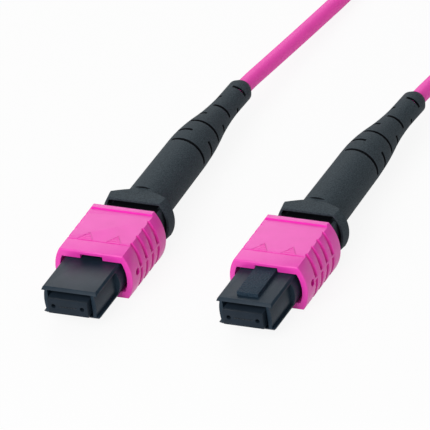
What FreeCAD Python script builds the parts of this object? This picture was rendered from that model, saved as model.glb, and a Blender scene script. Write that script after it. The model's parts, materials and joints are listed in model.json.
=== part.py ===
"""Fibre patch cable with a female multi-fibre push-on connector on each end.

Millimetres, +Z up. X is across the connectors, Y runs from the ferrule faces back along the cable, and
the floor is Z = 0, under the middle of the two connectors. Each connector is drawn in a frame of its own,
with its origin at the middle of the ferrule face, then placed: end a lies key up, end b key down.
"""
import FreeCAD
import Part
import Sketcher
import math
import os
import re

SIZES = {
    # Where the two ends lie
    "end_spacing": 26.7,
    "end_stagger": 3.1,
    # Ferrule, its boot and its keeper
    "ferrule_width": 6.4,
    "ferrule_height": 2.5,
    "ferrule_length": 8.0,
    "ferrule_play": 0.2,
    "ferrule_sag": 0.15,
    "flange_width": 7.0,
    "flange_height": 3.0,
    "flange_length": 2.0,
    "guide_hole_diameter": 0.7,
    "guide_hole_pitch": 4.6,
    "window_width": 3.4,
    "window_length": 2.0,
    "window_start": 3.0,
    "fibre_row_width": 2.9,
    "fibre_row_thickness": 0.13,
    "fibre_row_length": 2.6,
    "ribbon_width": 3.1,
    "ribbon_thickness": 0.32,
    "ferrule_boot_width": 3.5,
    "ferrule_boot_height": 1.4,
    "ferrule_boot_length": 6.0,
    "ferrule_boot_depth": 3.4,
    "keeper_length": 1.4,
    "keeper_slot_height": 1.0,
    "inner_gap": 0.05,
    # Main spring
    "main_spring_width": 6.2,
    "main_spring_height": 3.1,
    "main_spring_wire": 0.4,
    "main_spring_turns": 5,
    # Plug frame
    "nose_front": 0.95,
    "nose_width": 8.9,
    "nose_height": 4.6,
    "nose_bevel": 0.42,
    "nose_corner": 0.3,
    "mouth_width": 7.0,
    "mouth_height": 3.74,
    "mouth_depth": 2.6,
    "plate_thickness": 0.5,
    "web_width": 7.9,
    "web_crown": 0.22,
    "latch_shoulder": 7.6,
    "shoulder_crown": 0.5,
    "shoulder_length": 3.4,
    "shoulder_gap": 0.4,
    "cavity_width": 7.4,
    "cavity_height": 3.8,
    "frame_rear": 20.0,
    "key_width": 3.4,
    "key_front": 2.4,
    "key_rise": 0.6,
    "key_length": 9.6,
    # Coupling
    "coupling_front": 9.2,
    "coupling_length": 12.15,
    "coupling_width": 12.4,
    "coupling_flat_width": 10.1,
    "coupling_height": 7.44,
    "coupling_top_wall": 1.25,
    "coupling_side_wall": 0.85,
    "coupling_rim": 0.15,
    "coupling_crease": 0.06,
    "band_height": 7.94,
    "band_length": 1.0,
    "band_slope": 0.12,
    "key_notch_width": 3.6,
    "key_notch_rise": 0.65,
    "key_notch_length": 3.6,
    "groove_first": 2.95,
    "groove_width": 0.8,
    "groove_pitch": 2.0,
    "groove_count": 4,
    "groove_depth": 0.55,
    "groove_edge_depth": 0.3,
    "groove_bridge": 0.35,
    "side_hole_diameter": 1.1,
    "side_hole_place": 2.0,
    # Coupling springs between the coupling's lugs and the frame's lugs
    "side_spring_wire": 0.2,
    "side_spring_turns": 7,
    "side_spring_bed": 8.0,
    "side_spring_gap": 0.1,
    "spring_bed_gap": 0.25,
    "lug_length": 1.1,
    "lug_gap": 0.05,
    "slide_gap": 0.15,
    # Rear housing and crimp
    "insert_length": 3.0,
    "foot_length": 0.6,
    "foot_gap": 0.15,
    "barrel_diameter": 4.2,
    "barrel_length": 7.4,
    "barrel_bore": 3.4,
    "housing_latch_width": 2.2,
    "housing_latch_length": 1.0,
    "housing_latch_place": 1.0,
    "aramid_thickness": 0.2,
    "aramid_margin": 0.8,
    "crimp_wall": 0.35,
    "crimp_step": 1.0,
    "crimp_tail_length": 6.0,
    # Strain boot
    "boot_front": 24.35,
    "boot_end": 61.75,
    "boot_diameter": 6.94,
    "boot_draft": 0.3,
    "head_front_diameter": 10.5,
    "head_diameter": 10.96,
    "head_length": 1.7,
    "head_cone": 1.3,
    "head_flat_height": 6.4,
    "head_flat_length": 3.5,
    "head_wall": 0.35,
    "head_recess": 1.5,
    "taper_start": 41.5,
    "taper_length": 16.2,
    "tail_diameter": 3.75,
    "tail_round": 0.8,
    "tail_lip": 2.0,
    "boot_bore": 3.1,
    "slot_first": 41.2,
    "slot_pitch": 2.95,
    "slot_width": 0.5,
    "slot_floor": 1.45,
    "slot_turn": -37,
    # Cable, its coil and the straps round the coil
    "cable_diameter": 2.4,
    "coil_radius": 16.0,
    "coil_width": 9.6,
    "coil_height": 4.8,
    "coil_across": 5.0,
    "coil_back": 93.0,
    "tie_width": 5.0,
    "tie_thickness": 0.5,
}

TOP_SLOTS = 4
CORD_RADIUS_SHARE = 0.45
LEAD_DIAMETERS = 1.25

doc = FreeCAD.newDocument("patch_cable")
sheet = doc.addObject("Spreadsheet::Sheet", "Sizes")
for row, (alias, number) in enumerate(SIZES.items(), start=1):
    sheet.set(f"A{row}", alias)
    sheet.set(f"B{row}", str(number))
    sheet.setAlias(f"B{row}", alias)
doc.recompute()
probe = doc.addObject("Part::Vertex", "probe")
pieces = []


def formula(text):
    """The text with every size in it pointing at that size's cell."""
    return re.sub(r"[a-z]\w*", lambda word: f"Sizes.{word[0]}" if word[0] in SIZES else word[0], text)


def bind(thing, name, text):
    thing.setExpression(name, formula(text))


def value(text):
    """What a formula comes to."""
    bind(probe, "X", text)
    probe.recompute()
    return probe.X.Value


# Places that several pieces share, as formulas of the sizes
AXIS_HEIGHT = "(band_height / 2)"
HALF_NOSE = "(nose_width / 2)"
HALF_NOSE_TALL = "(nose_height / 2)"
THROAT_START = "(nose_front + mouth_depth)"
SHOULDER_REAR = "(latch_shoulder + shoulder_length)"
FLANGE_FRONT = "(ferrule_length - flange_length)"
KEEPER_REAR = "(ferrule_length + keeper_length)"
SPRING_SEAT = "(frame_rear - insert_length)"
COUPLING_REAR = "(coupling_front + coupling_length)"
GROOVE_START = "(coupling_front + groove_first)"
SIDE_BOW = "(coupling_width - coupling_flat_width)"
SIDE_RADIUS = f"((coupling_height^2 + {SIDE_BOW}^2) / (4 * {SIDE_BOW}))"
SIDE_CENTRE = f"(coupling_width / 2 - {SIDE_RADIUS})"
INNER_TALL = "(coupling_height / 2 - coupling_top_wall)"
INNER_WIDE = "(coupling_width / 2 - coupling_side_wall)"
COUPLING_LUG = f"({SHOULDER_REAR} + lug_gap)"
SIDE_SPRING_FRONT = f"({COUPLING_LUG} + lug_length)"
SIDE_SPRING_REAR = "(frame_rear - lug_length)"
SIDE_SPRING_INNER = "(side_spring_bed / 2 + slide_gap)"
SIDE_SPRING_WIDTH = f"({INNER_WIDE} - side_spring_gap - {SIDE_SPRING_INNER})"
SIDE_SPRING_PLACE = f"({SIDE_SPRING_INNER} + {SIDE_SPRING_WIDTH} / 2)"
BED_HEIGHT = f"({SIDE_SPRING_WIDTH} + 2 * spring_bed_gap)"
LUG_HEIGHT = f"({BED_HEIGHT} - 2 * slide_gap)"
SHOULDER_WIDE = f"({INNER_WIDE} - shoulder_gap - shoulder_crown)"
COLLAR_REAR = "(boot_front - inner_gap)"
FOOT_REAR = f"({COLLAR_REAR} + head_recess)"
BARREL_REAR = f"({FOOT_REAR} + barrel_length)"
CRIMP_BORE = "(barrel_diameter / 2 + aramid_thickness + 2 * inner_gap)"
CRIMP_FRONT = f"({FOOT_REAR} + 2 * inner_gap)"
CRIMP_STEP = f"({BARREL_REAR} + inner_gap)"
JACKET_START = f"({CRIMP_STEP} + crimp_step / 2)"
CRIMP_TAIL = f"({CRIMP_STEP} + crimp_step)"
CRIMP_END = f"({CRIMP_TAIL} + crimp_tail_length)"
JACKET_BORE = "(cable_diameter / 2 + inner_gap)"
CABLE_EXIT = "(boot_end - tail_lip)"
TAPER_END = "(taper_start + taper_length)"
TAPER_DIAMETER = "(boot_diameter - boot_draft)"
TAPER_DROP = f"(({TAPER_DIAMETER} - tail_diameter) / 2)"
ENDS_LENGTH = "(boot_end + end_stagger)"


class End:
    """One end of the cable: its letter, where its ferrule face is, and how far it is rolled."""

    def __init__(self, letter, across, along, roll):
        self.letter = letter
        self.across = across
        self.along = along
        self.roll = roll


ENDS = (
    End("a", "end_spacing / 2", f"end_stagger - {ENDS_LENGTH} / 2", 0),
    End("b", "-end_spacing / 2", f"-{ENDS_LENGTH} / 2", 180),
)


def seat(piece, end, sag="0"):
    """Turns a piece about the connector's axis and puts it at its end of the cable."""
    piece.Placement = FreeCAD.Placement(FreeCAD.Vector(), FreeCAD.Rotation(FreeCAD.Vector(0, 1, 0), end.roll))
    bind(piece, "Placement.Base.x", end.across)
    bind(piece, "Placement.Base.y", end.along)
    bind(piece, "Placement.Base.z", f"{AXIS_HEIGHT} - ({sag})")
    pieces.append(piece)


def new_body(name, end):
    return doc.addObject("PartDesign::Body", f"{name}_{end.letter}")


def origin_part(body, role):
    return next(part for part in body.Origin.OriginFeatures if part.Role == role)


def new_sketch(body, plane="XZ_Plane", station="0", turn="0"):
    """A sketch across the connector's axis at a station along it, or on another plane of the body."""
    sketch = body.newObject("Sketcher::SketchObject", f"{body.Name}_sketch")
    sketch.AttachmentSupport = [(origin_part(body, plane), "")]
    sketch.MapMode = "FlatFace"
    spin = FreeCAD.Rotation(FreeCAD.Vector(0, 0, 1), value(turn))
    sketch.AttachmentOffset = FreeCAD.Placement(FreeCAD.Vector(), spin)
    bind(sketch, "AttachmentOffset.Base.z", f"-({station})" if plane == "XZ_Plane" else station)
    return sketch


def hold(sketch, kind, text, *spots):
    """Adds a constraint whose value follows a formula."""
    index = sketch.addConstraint(Sketcher.Constraint(kind, *spots, value(text)))
    bind(sketch, f"Constraints[{index}]", text)


def arc_between(start, finish, radius):
    """The arc from start to finish that keeps its centre on the left, or on the right of a minus radius."""
    chord = finish - start
    left = FreeCAD.Vector(-chord.y, chord.x, 0).normalize()
    reach = math.sqrt(radius**2 - (chord.Length / 2) ** 2)
    centre = (start + finish) / 2 + left * math.copysign(reach, radius)
    circle = Part.Circle(centre, FreeCAD.Vector(0, 0, 1), abs(radius))
    first, last = (start, finish) if radius > 0 else (finish, start)
    angles = [math.atan2(spot.y - centre.y, spot.x - centre.x) for spot in (first, last)]
    return Part.ArcOfCircle(circle, *angles)


def draw_loop(sketch, corners):
    """A closed outline. A corner is (across, up), or (across, up, radius of the arc to the next corner)."""
    spots = [FreeCAD.Vector(value(corner[0]), value(corner[1]), 0) for corner in corners]
    first = sketch.GeometryCount
    starts, finishes = [], []
    for number, corner in enumerate(corners):
        start, finish = spots[number], spots[(number + 1) % len(spots)]
        radius = value(corner[2]) if len(corner) > 2 else 0
        side = arc_between(start, finish, radius) if radius else Part.LineSegment(start, finish)
        sketch.addGeometry(side)
        starts.append(2 if radius < 0 else 1)
        finishes.append(1 if radius < 0 else 2)
    for number, corner in enumerate(corners):
        after = (number + 1) % len(corners)
        joint = (first + number, finishes[number], first + after, starts[after])
        sketch.addConstraint(Sketcher.Constraint("Coincident", *joint))
        hold(sketch, "DistanceX", corner[0], -1, 1, first + number, starts[number])
        hold(sketch, "DistanceY", corner[1], -1, 1, first + number, starts[number])
        if len(corner) > 2:
            hold(sketch, "Radius", f"abs({corner[2]})", first + number)
    return sketch


def draw_circle(sketch, across, up, diameter):
    spot = FreeCAD.Vector(value(across), value(up), 0)
    circle = Part.Circle(spot, FreeCAD.Vector(0, 0, 1), value(diameter) / 2)
    index = sketch.addGeometry(circle)
    hold(sketch, "DistanceX", across, -1, 1, index, 3)
    hold(sketch, "DistanceY", up, -1, 1, index, 3)
    hold(sketch, "Diameter", diameter, index)
    return sketch


def rectangle(left, right, low, high):
    return [(left, low), (right, low), (right, high), (left, high)]


def block(width, height):
    """A rectangle about the axis."""
    return rectangle(f"-({width}) / 2", f"({width}) / 2", f"-({height}) / 2", f"({height}) / 2")


def chamfered(half_wide, half_tall, corner):
    """A rectangle about the axis with its four corners cut off."""
    quarter = [(f"{half_wide}", f"{half_tall} - {corner}"), (f"{half_wide} - {corner}", f"{half_tall}")]
    right = [(x, f"-({y})") for x, y in reversed(quarter)] + quarter
    return right + [(f"-({x})", y) for x, y in reversed(right)]


def bowed(half_wide, half_tall, radius):
    """A flat-topped outline whose two sides are arcs that bow outwards."""
    left, low = f"-({half_wide})", f"-({half_tall})"
    return [(left, low), (half_wide, low, radius), (half_wide, half_tall), (left, half_tall, radius)]


def head_oval(inset):
    """The outline of the boot's head at its front, set in by a distance."""
    radius, half_tall = f"(head_front_diameter / 2 - {inset})", f"(head_flat_height / 2 - {inset})"
    return bowed(f"sqrt({radius}^2 - {half_tall}^2)", half_tall, radius)


def side_of_coupling(up, inset):
    """Half the coupling's width at a height, on an arc set in from its outer side."""
    return f"(sqrt(({SIDE_RADIUS} - {inset})^2 - ({up})^2) + {SIDE_CENTRE})"


def coupling_section(half_tall, inset="0"):
    return bowed(side_of_coupling(half_tall, inset), half_tall, f"({SIDE_RADIUS} - {inset})")


def add_pad(body, sketch, length):
    """Material from the sketch towards the cable."""
    pad = body.newObject("PartDesign::Pad", f"{body.Name}_pad")
    pad.Profile = sketch
    pad.Reversed = True
    bind(pad, "Length", length)
    return pad


def cut_pocket(body, sketch, length):
    """A cut from the sketch towards the cable, which has to take something away."""
    doc.recompute()
    before = body.Shape.Volume
    pocket = body.newObject("PartDesign::Pocket", f"{body.Name}_pocket")
    pocket.Profile = sketch
    bind(pocket, "Length", length)
    doc.recompute()
    if body.Shape.Volume >= before:
        raise ValueError(f"{pocket.Name} cuts nothing")
    return pocket


def add_loft(body, *sketches):
    loft = body.newObject("PartDesign::AdditiveLoft", f"{body.Name}_loft")
    loft.Profile = sketches[0]
    loft.Sections = list(sketches[1:])
    return loft


def add_revolution(body, sketch, axis):
    turned = body.newObject("PartDesign::Revolution", f"{body.Name}_turned")
    turned.Profile = sketch
    turned.ReferenceAxis = (sketch, [axis])
    return turned


def repeat_along(body, feature, pitch, count):
    """Copies of a feature along the connector's axis."""
    pattern = body.newObject("PartDesign::LinearPattern", f"{body.Name}_pattern")
    pattern.Originals = [feature]
    pattern.Direction = (origin_part(body, "Y_Axis"), [""])
    bind(pattern, "Occurrences", count)
    bind(pattern, "Length", f"({pitch}) * ({count} - 1)")
    body.Tip = pattern
    return pattern


def guide_holes(sketch):
    for side in ("-", ""):
        draw_circle(sketch, f"{side}guide_hole_pitch / 2", "0", "guide_hole_diameter")
    return sketch


def make_ferrule(end):
    """Moulded block with a wider foot, two guide holes, the fibre slot and the window for the glue."""
    body = new_body("ferrule", end)
    add_pad(body, draw_loop(new_sketch(body), block("ferrule_width", "ferrule_height")), "ferrule_length")
    foot = draw_loop(new_sketch(body, station=FLANGE_FRONT), block("flange_width", "flange_height"))
    add_pad(body, foot, "flange_length")
    cut_pocket(body, guide_holes(new_sketch(body)), "ferrule_length")
    row = block("fibre_row_width + inner_gap", "fibre_row_thickness + inner_gap")
    cut_pocket(body, draw_loop(new_sketch(body), row), "ferrule_length")
    ribbon = block("ribbon_width + 2 * inner_gap", "ribbon_thickness + 2 * inner_gap")
    cut_pocket(body, draw_loop(new_sketch(body, station="fibre_row_length"), ribbon), "ferrule_length")
    sleeve = block("ferrule_boot_width + 2 * inner_gap", "ferrule_boot_height + 2 * inner_gap")
    mouth = new_sketch(body, station="ferrule_length - ferrule_boot_depth - inner_gap")
    cut_pocket(body, draw_loop(mouth, sleeve), "ferrule_length")
    window = rectangle("-window_width / 2", "window_width / 2", "0", "ferrule_height")
    cut_pocket(body, draw_loop(new_sketch(body, station="window_start"), window), "window_length")
    seat(body, end, "ferrule_sag")


def make_ferrule_boot(end):
    """Soft sleeve that stands half in the ferrule, with the ribbon through it."""
    body = new_body("ferrule_boot", end)
    start = "ferrule_length - ferrule_boot_depth"
    sleeve = block("ferrule_boot_width", "ferrule_boot_height")
    add_pad(body, draw_loop(new_sketch(body, station=start), sleeve), "ferrule_boot_length")
    ribbon = block("ribbon_width + 2 * inner_gap", "ribbon_thickness + 2 * inner_gap")
    cut_pocket(body, draw_loop(new_sketch(body, station=start), ribbon), "ferrule_boot_length")
    seat(body, end, "ferrule_sag")


def make_pin_keeper(end):
    """Spacer behind the ferrule, with a window for its boot and open slots in line with the guide holes."""
    body = new_body("pin_keeper", end)
    plate = draw_loop(new_sketch(body, station="ferrule_length"), block("flange_width", "flange_height"))
    add_pad(body, plate, "keeper_length")
    sleeve = block("ferrule_boot_width + 2 * inner_gap", "ferrule_boot_height + 2 * inner_gap")
    opening = draw_loop(new_sketch(body, station="ferrule_length"), sleeve)
    slot_floor = "guide_hole_pitch / 2 - guide_hole_diameter / 2"
    both_sides(opening, f"{slot_floor} - inner_gap", "flange_width", "keeper_slot_height")
    cut_pocket(body, opening, "keeper_length")
    seat(body, end, "ferrule_sag")


def make_fibre_ribbon(end):
    """Bare fibre row at the ferrule face, then the coated ribbon back to the cable."""
    body = new_body("fibre_ribbon", end)
    row = block("fibre_row_width", "fibre_row_thickness")
    add_pad(body, draw_loop(new_sketch(body), row), "fibre_row_length + inner_gap")
    ribbon = block("ribbon_width", "ribbon_thickness")
    start = "fibre_row_length + inner_gap"
    add_pad(body, draw_loop(new_sketch(body, station=start), ribbon), f"{JACKET_START} - ({start})")
    seat(body, end, "ferrule_sag")


def spring_solid(half_wide, half_tall, wire, start, length, turns):
    """A spring of square wire along +Y from its start. A wide one is oval, with straight runs."""
    radius = half_tall - wire / 2
    reach = half_wide - half_tall
    rise_span = length - wire
    slope = rise_span / (turns * (math.tau * radius + 4 * reach))
    half_turn = math.pi * radius * slope
    edges = []
    height = wire / 2
    for _ in range(int(turns)):
        for side in (1, -1):
            bend = Part.makeHelix(2 * half_turn, half_turn, radius)
            bend.rotate(FreeCAD.Vector(), FreeCAD.Vector(0, 0, 1), -90 * side)
            bend.translate(FreeCAD.Vector(side * reach, 0, height))
            edges += bend.Edges
            height += half_turn
            if reach > 0:
                bend_end = FreeCAD.Vector(side * reach, side * radius, height)
                height += 2 * reach * slope
                edges.append(Part.makeLine(bend_end, FreeCAD.Vector(-side * reach, side * radius, height)))
    corner = wire / 2
    square = [(-corner, -corner), (corner, -corner), (corner, corner), (-corner, corner), (-corner, -corner)]
    section = Part.makePolygon([FreeCAD.Vector(reach, y - radius, z + corner) for y, z in square])
    sweep = Part.BRepOffsetAPI.MakePipeShell(Part.Wire(edges))
    sweep.setBiNormalMode(FreeCAD.Vector(0, 0, 1))
    sweep.add(section)
    sweep.build()
    sweep.makeSolid()
    stand = FreeCAD.Placement(start, FreeCAD.Rotation(FreeCAD.Vector(1, 0, 0), -90))
    return sweep.shape().transformed(stand.toMatrix(), True)


def add_shape(name, end, shape, sag="0"):
    feature = doc.addObject("Part::Feature", f"{name}_{end.letter}")
    feature.Shape = shape
    seat(feature, end, sag)


def make_main_spring(end):
    """Oval spring between the pin keeper and the rear housing."""
    length = value(f"{SPRING_SEAT} - {KEEPER_REAR}")
    half_sizes = (value("main_spring_width / 2"), value("main_spring_height / 2"))
    start = FreeCAD.Vector(0, value(KEEPER_REAR), 0)
    spring = spring_solid(*half_sizes, value("main_spring_wire"), start, length, value("main_spring_turns"))
    add_shape("main_spring", end, spring, "ferrule_sag")


def make_coupling_springs(end):
    """A small spring on each side, from the coupling's lug to the frame's lug."""
    length = value(f"{SIDE_SPRING_REAR} - {SIDE_SPRING_FRONT}")
    half = value(f"{SIDE_SPRING_WIDTH} / 2")
    wire, turns = value("side_spring_wire"), value("side_spring_turns")
    springs = []
    for side in (-1, 1):
        start = FreeCAD.Vector(side * value(SIDE_SPRING_PLACE), value(SIDE_SPRING_FRONT), 0)
        springs.append(spring_solid(half, half, wire, start, length, turns))
    add_shape("coupling_springs", end, Part.makeCompound(springs))


def both_sides(sketch, inner, outer, height):
    """The same rectangle on the left and right of the axis."""
    low, high = f"-({height}) / 2", f"({height}) / 2"
    for side in ("-", ""):
        draw_loop(sketch, rectangle(f"{side}({inner})", f"{side}({outer})", low, high))
    return sketch


def both_faces(sketch, width, inner, outer):
    """The same rectangle above and below the axis."""
    left, right = f"-({width}) / 2", f"({width}) / 2"
    for side in ("-", ""):
        draw_loop(sketch, rectangle(left, right, f"{side}({inner})", f"{side}({outer})"))
    return sketch


def side_channels(sketch):
    """The two channels between the nose's plates, each with a web that bows outwards."""
    half_tall = f"({HALF_NOSE_TALL} - plate_thickness)"
    radius = f"(({half_tall}^2 + web_crown^2) / (2 * web_crown))"
    for side, bow in (("", "-"), ("-", "")):
        web, outer = f"{side}web_width / 2", f"{side}nose_width"
        corners = [(web, f"-{half_tall}"), (outer, f"-{half_tall}"), (outer, half_tall)]
        draw_loop(sketch, corners + [(web, half_tall, f"{bow}{radius}")])
    return sketch


def make_plug_frame(end):
    """Inner housing: a nose of I section with the key on top, latch shoulders, and the spring cavity."""
    body = new_body("plug_frame", end)
    lip = chamfered(HALF_NOSE, f"({HALF_NOSE_TALL} - nose_bevel)", "nose_corner / 4")
    section = chamfered(HALF_NOSE, HALF_NOSE_TALL, "nose_corner")
    front = draw_loop(new_sketch(body, station="nose_front"), lip)
    behind = draw_loop(new_sketch(body, station="nose_front + nose_bevel"), section)
    add_loft(body, front, behind)
    trunk = draw_loop(new_sketch(body, station="nose_front + nose_bevel"), section)
    add_pad(body, trunk, "frame_rear - nose_front - nose_bevel")
    channels = side_channels(new_sketch(body, station="nose_front"))
    cut_pocket(body, channels, "latch_shoulder - nose_front")

    plate_edge = f"({HALF_NOSE_TALL} - plate_thickness)"
    shoulder_arc = f"(({plate_edge}^2 + shoulder_crown^2) / (2 * shoulder_crown))"
    shoulder = bowed(SHOULDER_WIDE, plate_edge, shoulder_arc)
    add_pad(body, draw_loop(new_sketch(body, station="latch_shoulder"), shoulder), "shoulder_length")
    beds = new_sketch(body, station=SHOULDER_REAR)
    both_sides(beds, "side_spring_bed / 2", "nose_width", BED_HEIGHT)
    cut_pocket(body, beds, f"frame_rear - lug_length - {SHOULDER_REAR}")
    lugs = new_sketch(body, station=SIDE_SPRING_REAR)
    both_sides(lugs, "side_spring_bed / 2", f"{INNER_WIDE} - slide_gap", LUG_HEIGHT)
    add_pad(body, lugs, "lug_length")
    key = new_sketch(body, station="key_front")
    rise = (f"{HALF_NOSE_TALL} - nose_bevel / 2", f"{HALF_NOSE_TALL} + key_rise")
    add_pad(body, draw_loop(key, rectangle("-key_width / 2", "key_width / 2", *rise)), "key_length")

    mouth = draw_loop(new_sketch(body, station="nose_front"), block("mouth_width", "mouth_height"))
    cut_pocket(body, mouth, "mouth_depth")
    throat = block("ferrule_width + 2 * ferrule_play", "ferrule_height + 2 * ferrule_play")
    cut_pocket(body, draw_loop(new_sketch(body, station=THROAT_START), throat), f"frame_rear - {THROAT_START}")
    cavity = draw_loop(new_sketch(body, station=FLANGE_FRONT), block("cavity_width", "cavity_height"))
    cut_pocket(body, cavity, f"frame_rear - {FLANGE_FRONT}")
    windows = new_sketch(body, station=f"{SPRING_SEAT} + housing_latch_place - inner_gap")
    both_faces(windows, "housing_latch_width + 2 * inner_gap", "cavity_height / 4", "nose_height")
    cut_pocket(body, windows, "housing_latch_length + 2 * inner_gap")
    seat(body, end)


def groove_section(half_tall):
    """The coupling's section at a groove's rear wall: flatter sides, cut deepest at half height."""
    half_wide = f"({side_of_coupling(half_tall, '0')} - groove_edge_depth)"
    bow = f"(coupling_width / 2 - groove_depth - {half_wide})"
    return bowed(half_wide, half_tall, f"((({half_tall})^2 + {bow}^2) / (2 * {bow}))")


def coupling_stations():
    """Pairs of sections along the coupling, each pair the front and back of one stretch of its outside."""
    half_tall, half_band = "coupling_height / 2", "band_height / 2"
    front_tall = f"{half_tall} - coupling_crease"
    band_start, rim_start = f"{COUPLING_REAR} - band_length", f"{COUPLING_REAR} - coupling_rim"
    plain, low, high = (coupling_section(tall) for tall in (half_tall, front_tall, half_band))
    front_edge = coupling_section(f"{front_tall} - coupling_rim", "coupling_rim")
    rear_edge = coupling_section(f"{half_band} - coupling_rim", "coupling_rim")
    place = GROOVE_START
    stretches = [
        (("coupling_front", front_edge), ("coupling_front + coupling_rim", low)),
        (("coupling_front + coupling_rim", low), (place, low)),
    ]
    for number in range(int(value("groove_count"))):
        groove = f"{GROOVE_START} + {number} * groove_pitch"
        groove_rear = f"{groove} + groove_width"
        if number:
            stretches.append(((place, plain), (groove, plain)))
        stretches.append(((groove, plain), (groove_rear, groove_section(half_tall))))
        place = groove_rear
    stretches += [
        ((place, plain), (f"{band_start} - band_slope", plain)),
        ((f"{band_start} - band_slope", plain), (band_start, high)),
        ((band_start, high), (rim_start, high)),
        ((rim_start, high), (COUPLING_REAR, rear_edge)),
    ]
    return stretches


def make_coupling(end):
    """Sliding sleeve with bowed sides, saw-tooth grips, a raised rear band and a key notch each way up."""
    body = new_body("coupling", end)
    for (start, front), (finish, back) in coupling_stations():
        sections = [draw_loop(new_sketch(body, station=start), front)]
        sections.append(draw_loop(new_sketch(body, station=finish), back))
        add_loft(body, *sections)
    bridge = new_sketch(body, station=GROOVE_START)
    both_sides(bridge, INNER_WIDE, side_of_coupling("groove_bridge / 2", "0"), "groove_bridge")
    repeat_along(body, add_pad(body, bridge, "groove_width"), "groove_pitch", "groove_count")

    bore = new_sketch(body, station="coupling_front")
    cut_pocket(body, draw_loop(bore, coupling_section(INNER_TALL, "coupling_side_wall")), "coupling_length")
    notches = new_sketch(body, station="coupling_front")
    both_faces(notches, "key_notch_width", f"{INNER_TALL} / 2", f"{INNER_TALL} + key_notch_rise")
    cut_pocket(body, notches, "key_notch_length")
    lugs = new_sketch(body, station=COUPLING_LUG)
    both_sides(lugs, SIDE_SPRING_INNER, f"{INNER_WIDE} + coupling_side_wall / 4", LUG_HEIGHT)
    add_pad(body, lugs, "lug_length")
    hole = new_sketch(body, "YZ_Plane")
    draw_circle(hole, "coupling_front + side_hole_place", "0", "side_hole_diameter")
    cut_pocket(body, hole, "coupling_width").Midplane = True
    seat(body, end)


def make_rear_housing(end):
    """Spring push: an insert with two catches, a collar, a foot seated in the boot, and the crimp barrel."""
    body = new_body("rear_housing", end)
    insert = block("cavity_width - 2 * inner_gap", "cavity_height - 2 * inner_gap")
    add_pad(body, draw_loop(new_sketch(body, station=SPRING_SEAT), insert), "insert_length")
    collar = chamfered(HALF_NOSE, HALF_NOSE_TALL, "nose_corner")
    add_pad(body, draw_loop(new_sketch(body, station="frame_rear"), collar), f"{COLLAR_REAR} - frame_rear")
    neck = draw_loop(new_sketch(body, station=COLLAR_REAR), head_oval("(3 * head_wall)"))
    add_pad(body, neck, "head_recess")
    foot = new_sketch(body, station=f"{FOOT_REAR} - foot_length")
    add_pad(body, draw_loop(foot, head_oval("(head_wall + foot_gap)")), "foot_length")
    barrel = draw_circle(new_sketch(body, station=FOOT_REAR), "0", "0", "barrel_diameter")
    add_pad(body, barrel, "barrel_length")
    catches = new_sketch(body, station=f"{SPRING_SEAT} + housing_latch_place")
    both_faces(catches, "housing_latch_width", "cavity_height / 4", f"{HALF_NOSE_TALL} - inner_gap")
    add_pad(body, catches, "housing_latch_length")
    bore = draw_circle(new_sketch(body, station=SPRING_SEAT), "0", "0", "barrel_bore")
    cut_pocket(body, bore, f"{BARREL_REAR} - {SPRING_SEAT}")
    seat(body, end)


def make_aramid_layer(end):
    """Strength yarn laid back over the barrel, under the crimp sleeve."""
    body = new_body("aramid_layer", end)
    inner, outer = "(barrel_diameter / 2 + inner_gap)", "(barrel_diameter / 2 + inner_gap + aramid_thickness)"
    start, finish = CRIMP_FRONT, f"{BARREL_REAR} - aramid_margin"
    profile = draw_loop(new_sketch(body, "YZ_Plane"), rectangle(start, finish, inner, outer))
    add_revolution(body, profile, "H_Axis")
    seat(body, end)


def make_crimp_sleeve(end):
    """Drawn metal sleeve, wide over the barrel and narrow over the jacket."""
    body = new_body("crimp_sleeve", end)
    tail_bore = JACKET_BORE
    profile = [
        (CRIMP_FRONT, CRIMP_BORE),
        (CRIMP_STEP, CRIMP_BORE),
        (CRIMP_TAIL, tail_bore),
        (CRIMP_END, tail_bore),
        (CRIMP_END, f"{tail_bore} + crimp_wall"),
        (CRIMP_TAIL, f"{tail_bore} + crimp_wall"),
        (CRIMP_STEP, f"{CRIMP_BORE} + crimp_wall"),
        (CRIMP_FRONT, f"{CRIMP_BORE} + crimp_wall"),
    ]
    add_revolution(body, draw_loop(new_sketch(body, "YZ_Plane"), profile), "H_Axis")
    seat(body, end)


def make_cable_lead(end):
    """The cable's jacket where the boot hides it, from the crimp to the boot's lip."""
    lead = doc.addObject("Part::Cylinder", f"cable_lead_{end.letter}")
    bind(lead, "Radius", "cable_diameter / 2")
    bind(lead, "Height", f"{CABLE_EXIT} - {JACKET_START}")
    spin = FreeCAD.Rotation(FreeCAD.Vector(1, 0, 0), -90)
    lead.Placement = FreeCAD.Placement(FreeCAD.Vector(), spin)
    bind(lead, "Placement.Base.x", end.across)
    bind(lead, "Placement.Base.y", f"{end.along} + {JACKET_START}")
    bind(lead, "Placement.Base.z", AXIS_HEIGHT)
    pieces.append(lead)


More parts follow.
